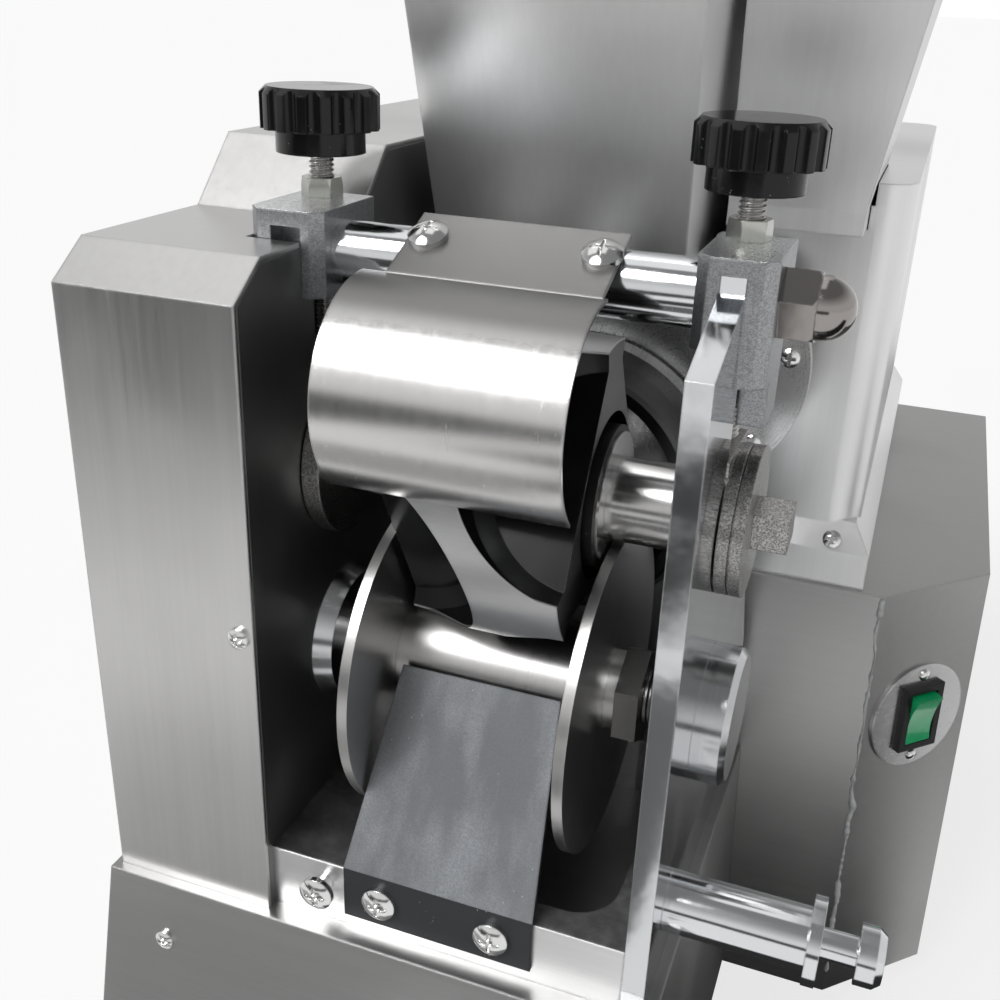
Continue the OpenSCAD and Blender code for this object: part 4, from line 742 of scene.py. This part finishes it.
@dataclass
class Cabinet:
    """The base, the box behind the head and the switch."""

    wardrobe: Wardrobe
    corner: Point = head(120.0, 104.0, 58.0)
    flare: float = 6.0 / 200.0
    bead_r: float = 0.9 * MM
    bead_steps: int = 260
    bead_top: float = 1 * MM
    bead_foot: float = 30 * MM
    bead_seed: int = 7
    bead_waves: tuple[int, ...] = (14, 40, 110)
    bead_lump: float = 0.35
    bead_span: tuple[float, float] = (0.35, 2.1)
    drift_points: int = 24
    drift_far: float = 0.6 * MM
    panel: Point = (0.128506, -0.021506, 0.158042)
    panel_out: Point = (0.7065, -0.7065, 0.0424)
    panel_up: Point = (-0.03, 0.03, 0.9991)
    screw_off: float = 19.4 * MM
    screw_r: float = 2.6 * MM
    screw_h: float = 1.8 * MM
    screw_sunk: float = 0.1
    screw_sides: int = 24

    def build(self) -> None:
        """Makes the cabinet's small pieces."""
        self.bead()
        self.screw("switch_screw_high", self.screw_off)
        self.screw("switch_screw_low", -self.screw_off)

    def screw(self, name: str, rise: float) -> None:
        """Sets a domed screw head on the switch's round plate.

        Args:
            name: the piece's name.
            rise: its distance above the plate's middle.
        """
        nearly_top = 0.24 * TURN
        angle = np.linspace(0.0, nearly_top, 9)
        lift = np.concatenate([[-self.screw_sunk * self.screw_h], self.screw_h * np.sin(angle)])
        radius = np.concatenate([[self.screw_r], self.screw_r * np.cos(angle)])
        seat = np.asarray(self.panel) + rise * np.asarray(self.panel_up)
        path = seat + lift[:, None] * np.asarray(self.panel_out)
        grid = tube_grid(path, radius, (0.0, 0.0, 1.0), self.screw_sides)
        head_piece = sheet_piece(name, grid, True, True)
        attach(head_piece, "frame")
        self.wardrobe.put(Look.SCREW, head_piece)

    def bead(self) -> None:
        """Smears a bead of sealant down the base's bevelled corner, thick and thin, wandering."""
        at = np.linspace(0.0, 1.0, self.bead_steps)
        fall = at * (self.corner[2] - self.bead_foot)
        rng = np.random.default_rng(self.bead_seed)

        def wander(points: int, far: float) -> np.ndarray:
            """Random steps at evenly set points, joined by straight lines."""
            return np.interp(at, np.linspace(0, 1, points), rng.normal(0.0, far, points))

        lumps = sum(wander(points, self.bead_lump) for points in self.bead_waves)
        drift = wander(self.drift_points, self.drift_far)
        path = np.stack([self.corner[0] + self.flare * fall + drift, self.corner[1] - self.flare * fall,
                         self.corner[2] - self.bead_top - fall], axis=1)
        radius = self.bead_r * np.clip(1.0 + lumps, *self.bead_span)
        bead = sheet_piece("corner_bead", tube_grid(path, radius, (0.0, 1.0, 0.0)), True, True)
        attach(bead, "frame")
        self.wardrobe.put(Look.SEALANT, bead)

    def dress(self) -> None:
        """Puts the finishes on the cabinet's solids."""
        put = self.wardrobe.dress
        put(Look.BASE, "base_housing")
        put(Look.FLOOR, "base_floor")
        put(Look.RUBBER, "rubber_feet")
        put(Look.DECK, "head_base_plate")
        put(Look.BOX, "upper_housing")
        put(Look.PLATE, "switch_plate")
        put(Look.BEZEL, "switch_bezel")
        put(Look.ROCKER, "switch_rocker")
        put(Look.SCREW, "small_screws")


@dataclass
class Head:
    """The fork plates, their cover, saddles and bar, the guard and the chute."""

    wardrobe: Wardrobe

    def dress(self) -> None:
        """Puts the finishes on the head's solids."""
        put = self.wardrobe.dress
        put(Look.COVER, "gear_cover")
        put(Look.GUARD, "guard")
        put(Look.CHROME_PLATE, "right_side_plate")
        put(Look.WALL, "left_wall_plate")
        put(Look.ZINC, "left_saddle", "right_saddle")
        put(Look.CHROME, "crossbar", "side_post", "post_bolt")
        put(Look.ACORN, "acorn_nut", "crossbar_nut")
        put(Look.SCREW, "pan_screws")
        put(Look.CHUTE, "chute")
        put(Look.CAP, "lower_bearing_left", "lower_bearing_right")


@dataclass
class Rolls:
    """The forming drum above and the spool below it."""

    wardrobe: Wardrobe
    shaft_r: float = 9 * MM
    pitch: float = 2 * MM
    depth: float = 0.5 * MM
    rise: float = 0.55 * MM
    nut_lap: float = 0.2 * MM
    plate_gap: float = 0.4 * MM

    def build(self) -> None:
        """Cuts the thread that the spool's nut runs on, as a thin sleeve on the shaft."""
        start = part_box("spool_nut")[1].x
        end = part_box("right_side_plate")[0].x
        grid = thread_grid(Axis.X, SPOOL_MID, start - self.nut_lap, end - self.plate_gap,
                           self.shaft_r + self.rise, self.depth, self.pitch)
        sleeve = sheet_piece("spool_thread", grid, True, True)
        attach(sleeve, "spool")
        self.wardrobe.put(Look.NUT_DARK, sleeve)

    def dress(self) -> None:
        """Puts the finishes on the rolls' solids."""
        put = self.wardrobe.dress
        put(Look.DRUM, "forming_drum")
        put(Look.NYLON, "drum_ring")
        put(Look.ROLL, "drum_collar")
        put(Look.BUSH, "upper_shaft", "upper_bush_left", "upper_bush_right")
        put(Look.SPOOL, "spool_hub", "spool_flange_left", "spool_flange_right", "lower_shaft")
        put(Look.NUT_DARK, "spool_nut")


@dataclass
class Feed:
    """The hoppers, the dough barrel and its nozzle, and the filling pump."""

    wardrobe: Wardrobe

    def dress(self) -> None:
        """Puts the finishes on the feed's solids."""
        put = self.wardrobe.dress
        put(Look.HOPPER, "dough_hopper", "filling_hopper")
        put(Look.FEED, "dough_barrel", "nozzle", "dough_auger")
        put(Look.RING_BLACK, "nozzle_ring")
        put(Look.PUMP, "pump_casing", "pump_cover", "pump_rotor")


@dataclass
class PressScrews:
    """The two fluted knobs, their threaded studs and lock nuts."""

    wardrobe: Wardrobe
    pitch: float = 1.5 * MM
    depth: float = 0.85 * MM

    def build(self) -> None:
        """Threads both studs from end to end."""
        for side, centre, look in (("left", KNOB_LEFT, Look.STUD_LEFT),
                                   ("right", KNOB_RIGHT, Look.STUD_RIGHT)):
            low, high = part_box(f"press_screw_{side}")
            grid = thread_grid(Axis.Z, centre, low.z, high.z, (high.x - low.x) / 2, self.depth, self.pitch)
            stud = sheet_piece(f"stud_{side}", grid, True, True)
            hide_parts(f"press_screw_{side}")
            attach(stud, f"knob_{side}_body")
            self.wardrobe.put(look, stud)

    def dress(self) -> None:
        """Puts the finishes on the knobs and nuts."""
        self.wardrobe.dress(Look.KNOB, "knob_left", "knob_right")
        self.wardrobe.dress(Look.NUT, "lock_nuts")


@dataclass
class Drive:
    """The gear train in the cover, the gearbox and the motor."""

    wardrobe: Wardrobe

    def dress(self) -> None:
        """Puts the finishes on the drive's solids."""
        put = self.wardrobe.dress
        put(Look.GEAR, "upper_gear", "lower_pinion", "idler_gear", "transfer_gear", "drive_gear")
        put(Look.FEED, "drive_shaft", "idler_pin", "transfer_pin")
        put(Look.GEARBOX, "gearbox")
        put(Look.MOTOR, "motor")


@dataclass
class Studio:
    """A pale floor, one soft key light, a plain room and the camera."""

    place: Point = (0.09885, -0.46978, 0.43311)
    turn: float = 19.74
    tilt: float = 23.98
    roll: float = 2.17
    lens: float = 41.67
    sensor: float = 36.0
    clip: tuple[float, float] = (0.01, 200.0)
    floor_tone: float = 0.9
    floor_white: float = 0.75
    floor_glare: float = 0.55
    floor_reach: float = 40.0
    key_from: Point = (-0.37, -0.6, 0.72)
    key_energy: float = 2.3
    key_spread: float = 30.0
    room_greys: tuple[tuple[float, float], ...] = ((0.0, 0.8), (0.3, 0.8), (0.75, 0.24))

    def camera(self) -> None:
        """Stands the camera where the photograph was taken from, rolled as it was held."""
        a, e, r = (math.radians(v) for v in (self.turn, self.tilt, self.roll))
        back = Vector((math.sin(a) * math.cos(e), -math.cos(a) * math.cos(e), math.sin(e)))
        level = (-back).cross(Vector((0, 0, 1))).normalized()
        rise = level.cross(-back)
        right = level * math.cos(r) + rise * math.sin(r)
        up = rise * math.cos(r) - level * math.sin(r)
        data = bpy.data.cameras.new("camera")
        data.lens, data.sensor_width = self.lens, self.sensor
        data.clip_start, data.clip_end = self.clip
        camera = bpy.data.objects.new("camera", data)
        camera.matrix_world = Matrix.Translation(Vector(self.place)) @ Matrix(
            ((right.x, up.x, back.x, 0), (right.y, up.y, back.y, 0), (right.z, up.z, back.z, 0), (0, 0, 0, 1)))
        bpy.context.scene.collection.objects.link(camera)
        bpy.context.scene.camera = camera

    def floor(self) -> None:
        """Lays a wide pale floor under the feet."""
        side = np.linspace(-self.floor_reach, self.floor_reach, 9)
        x, y = np.meshgrid(side, side)
        grid = np.stack([x, y, np.zeros_like(x)], axis=-1)
        floor = sheet_piece("floor", grid, False, False)
        g = Graph("pale_floor")
        cloud = g.noise(3.0, 3.0)
        tone = g.mix(cloud, grey(self.floor_tone * 0.985), grey(self.floor_tone))
        plain = g.node("ShaderNodeBsdfPrincipled", None, {"Base Color": tone, "Roughness": 0.75})
        white = g.node("ShaderNodeEmission", None, {"Color": WHITE, "Strength": 1.0})
        kinds = ("Camera", "Glossy", "Transmission")
        rays = [g.node("ShaderNodeLightPath", out=f"Is {kind} Ray") for kind in kinds]
        seen = rays[0] * self.floor_white + (rays[1] + rays[2]) * self.floor_glare
        g.close(g.node("ShaderNodeMixShader", None, {0: seen, 1: plain, 2: white}))
        floor.data.materials.append(g.owner)

    def card(self, name: str, corners: Sequence[Point], level: float) -> None:
        """Stands a card that only reflections see, as a photographer does beside bright metal.

        Args:
            name: the card's name.
            corners: its four corners, in rows of two.
            level: how bright it is.
        """
        card = sheet_piece(name, np.asarray(corners, float).reshape(2, 2, 3), False, False)
        g = Graph(name)
        g.close(g.node("ShaderNodeEmission", None, {"Color": (*grey(level), 1.0), "Strength": 1.0}))
        card.data.materials.append(g.owner)
        card.visible_camera = card.visible_diffuse = False
        card.visible_shadow = card.visible_transmission = False

    def cards(self) -> None:
        """Sets the cards round the machine, each from its first corner to the opposite one."""
        for name, (x0, y0, z0), (x1, y1, z1), level in (
                ("card_front_low", (-0.06, -0.25, 0.004), (0.9, -0.02, 0.004), 0.03),
                ("card_strip", (-0.22, -1.05, 0.004), (-0.02, -0.66, 0.004), 0.05),
                ("card_near", (-0.34, -0.46, 0.004), (-0.08, -0.26, 0.004), 0.4),
                ("card_ceiling", (-1.7, 1.1, 2.0), (0.1, -0.4, 2.0), 1.0),
                ("card_behind", (0.16, 0.05, 0.004), (0.5, 1.1, 0.004), 0.1),
                ("card_slot", (-0.09, -0.6, 0.005), (0.02, -0.36, 0.005), 0.15),
                ("card_far", (-2.6, -2.6, 0.004), (-0.42, -0.75, 0.004), 0.06),
                ("card_horizon", (-2.6, -2.6, 0.004), (1.2, -2.6, 0.45), 0.08)):
            self.card(name, ((x0, y0, z0), (x1, y0, z0), (x0, y1, z1), (x1, y1, z1)), level)

    def light(self) -> None:
        """Hangs the key light and sets the room: pale round the horizon, darker overhead."""
        sun = bpy.data.lights.new("key", "SUN")
        sun.energy, sun.angle = self.key_energy, math.radians(self.key_spread)
        key = bpy.data.objects.new("key", sun)
        key.rotation_mode = "QUATERNION"
        key.rotation_quaternion = Vector(self.key_from).to_track_quat("Z", "Y")
        bpy.context.scene.collection.objects.link(key)
        g = Graph("room", room=True)
        way = g.node("ShaderNodeTexCoord", out="Generated")
        height = g.node("ShaderNodeSeparateXYZ", None, {0: way}, out="Z")
        shade = g.node("ShaderNodeValToRGB", {"stops": self.room_greys}, {0: height})
        room = g.node("ShaderNodeBackground", None, {"Color": shade})
        white = g.node("ShaderNodeBackground", None, {"Color": WHITE})
        seen = g.node("ShaderNodeLightPath", out="Is Camera Ray")
        g.close(g.node("ShaderNodeMixShader", None, {0: seen, 1: room, 2: white}), "ShaderNodeOutputWorld")
        bpy.context.scene.world = g.owner

    def build(self) -> None:
        """Sets up the whole studio."""
        self.camera()
        self.floor()
        self.cards()
        self.light()
        bpy.context.scene.view_settings.view_transform = "Standard"


def main() -> None:
    """Builds the studio and the machine, piece by piece."""
    logging.basicConfig(level=logging.INFO, format="%(name)s: %(message)s")
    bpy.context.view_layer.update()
    Studio().build()
    wardrobe = Wardrobe()
    cabinet, rolls, screws = Cabinet(wardrobe), Rolls(wardrobe), PressScrews(wardrobe)
    for part in (cabinet, Head(wardrobe), rolls, Feed(wardrobe), screws, Drive(wardrobe)):
        part.dress()
    for part in (cabinet, rolls, screws):
        part.build()


if __name__ == "__main__":
    main()
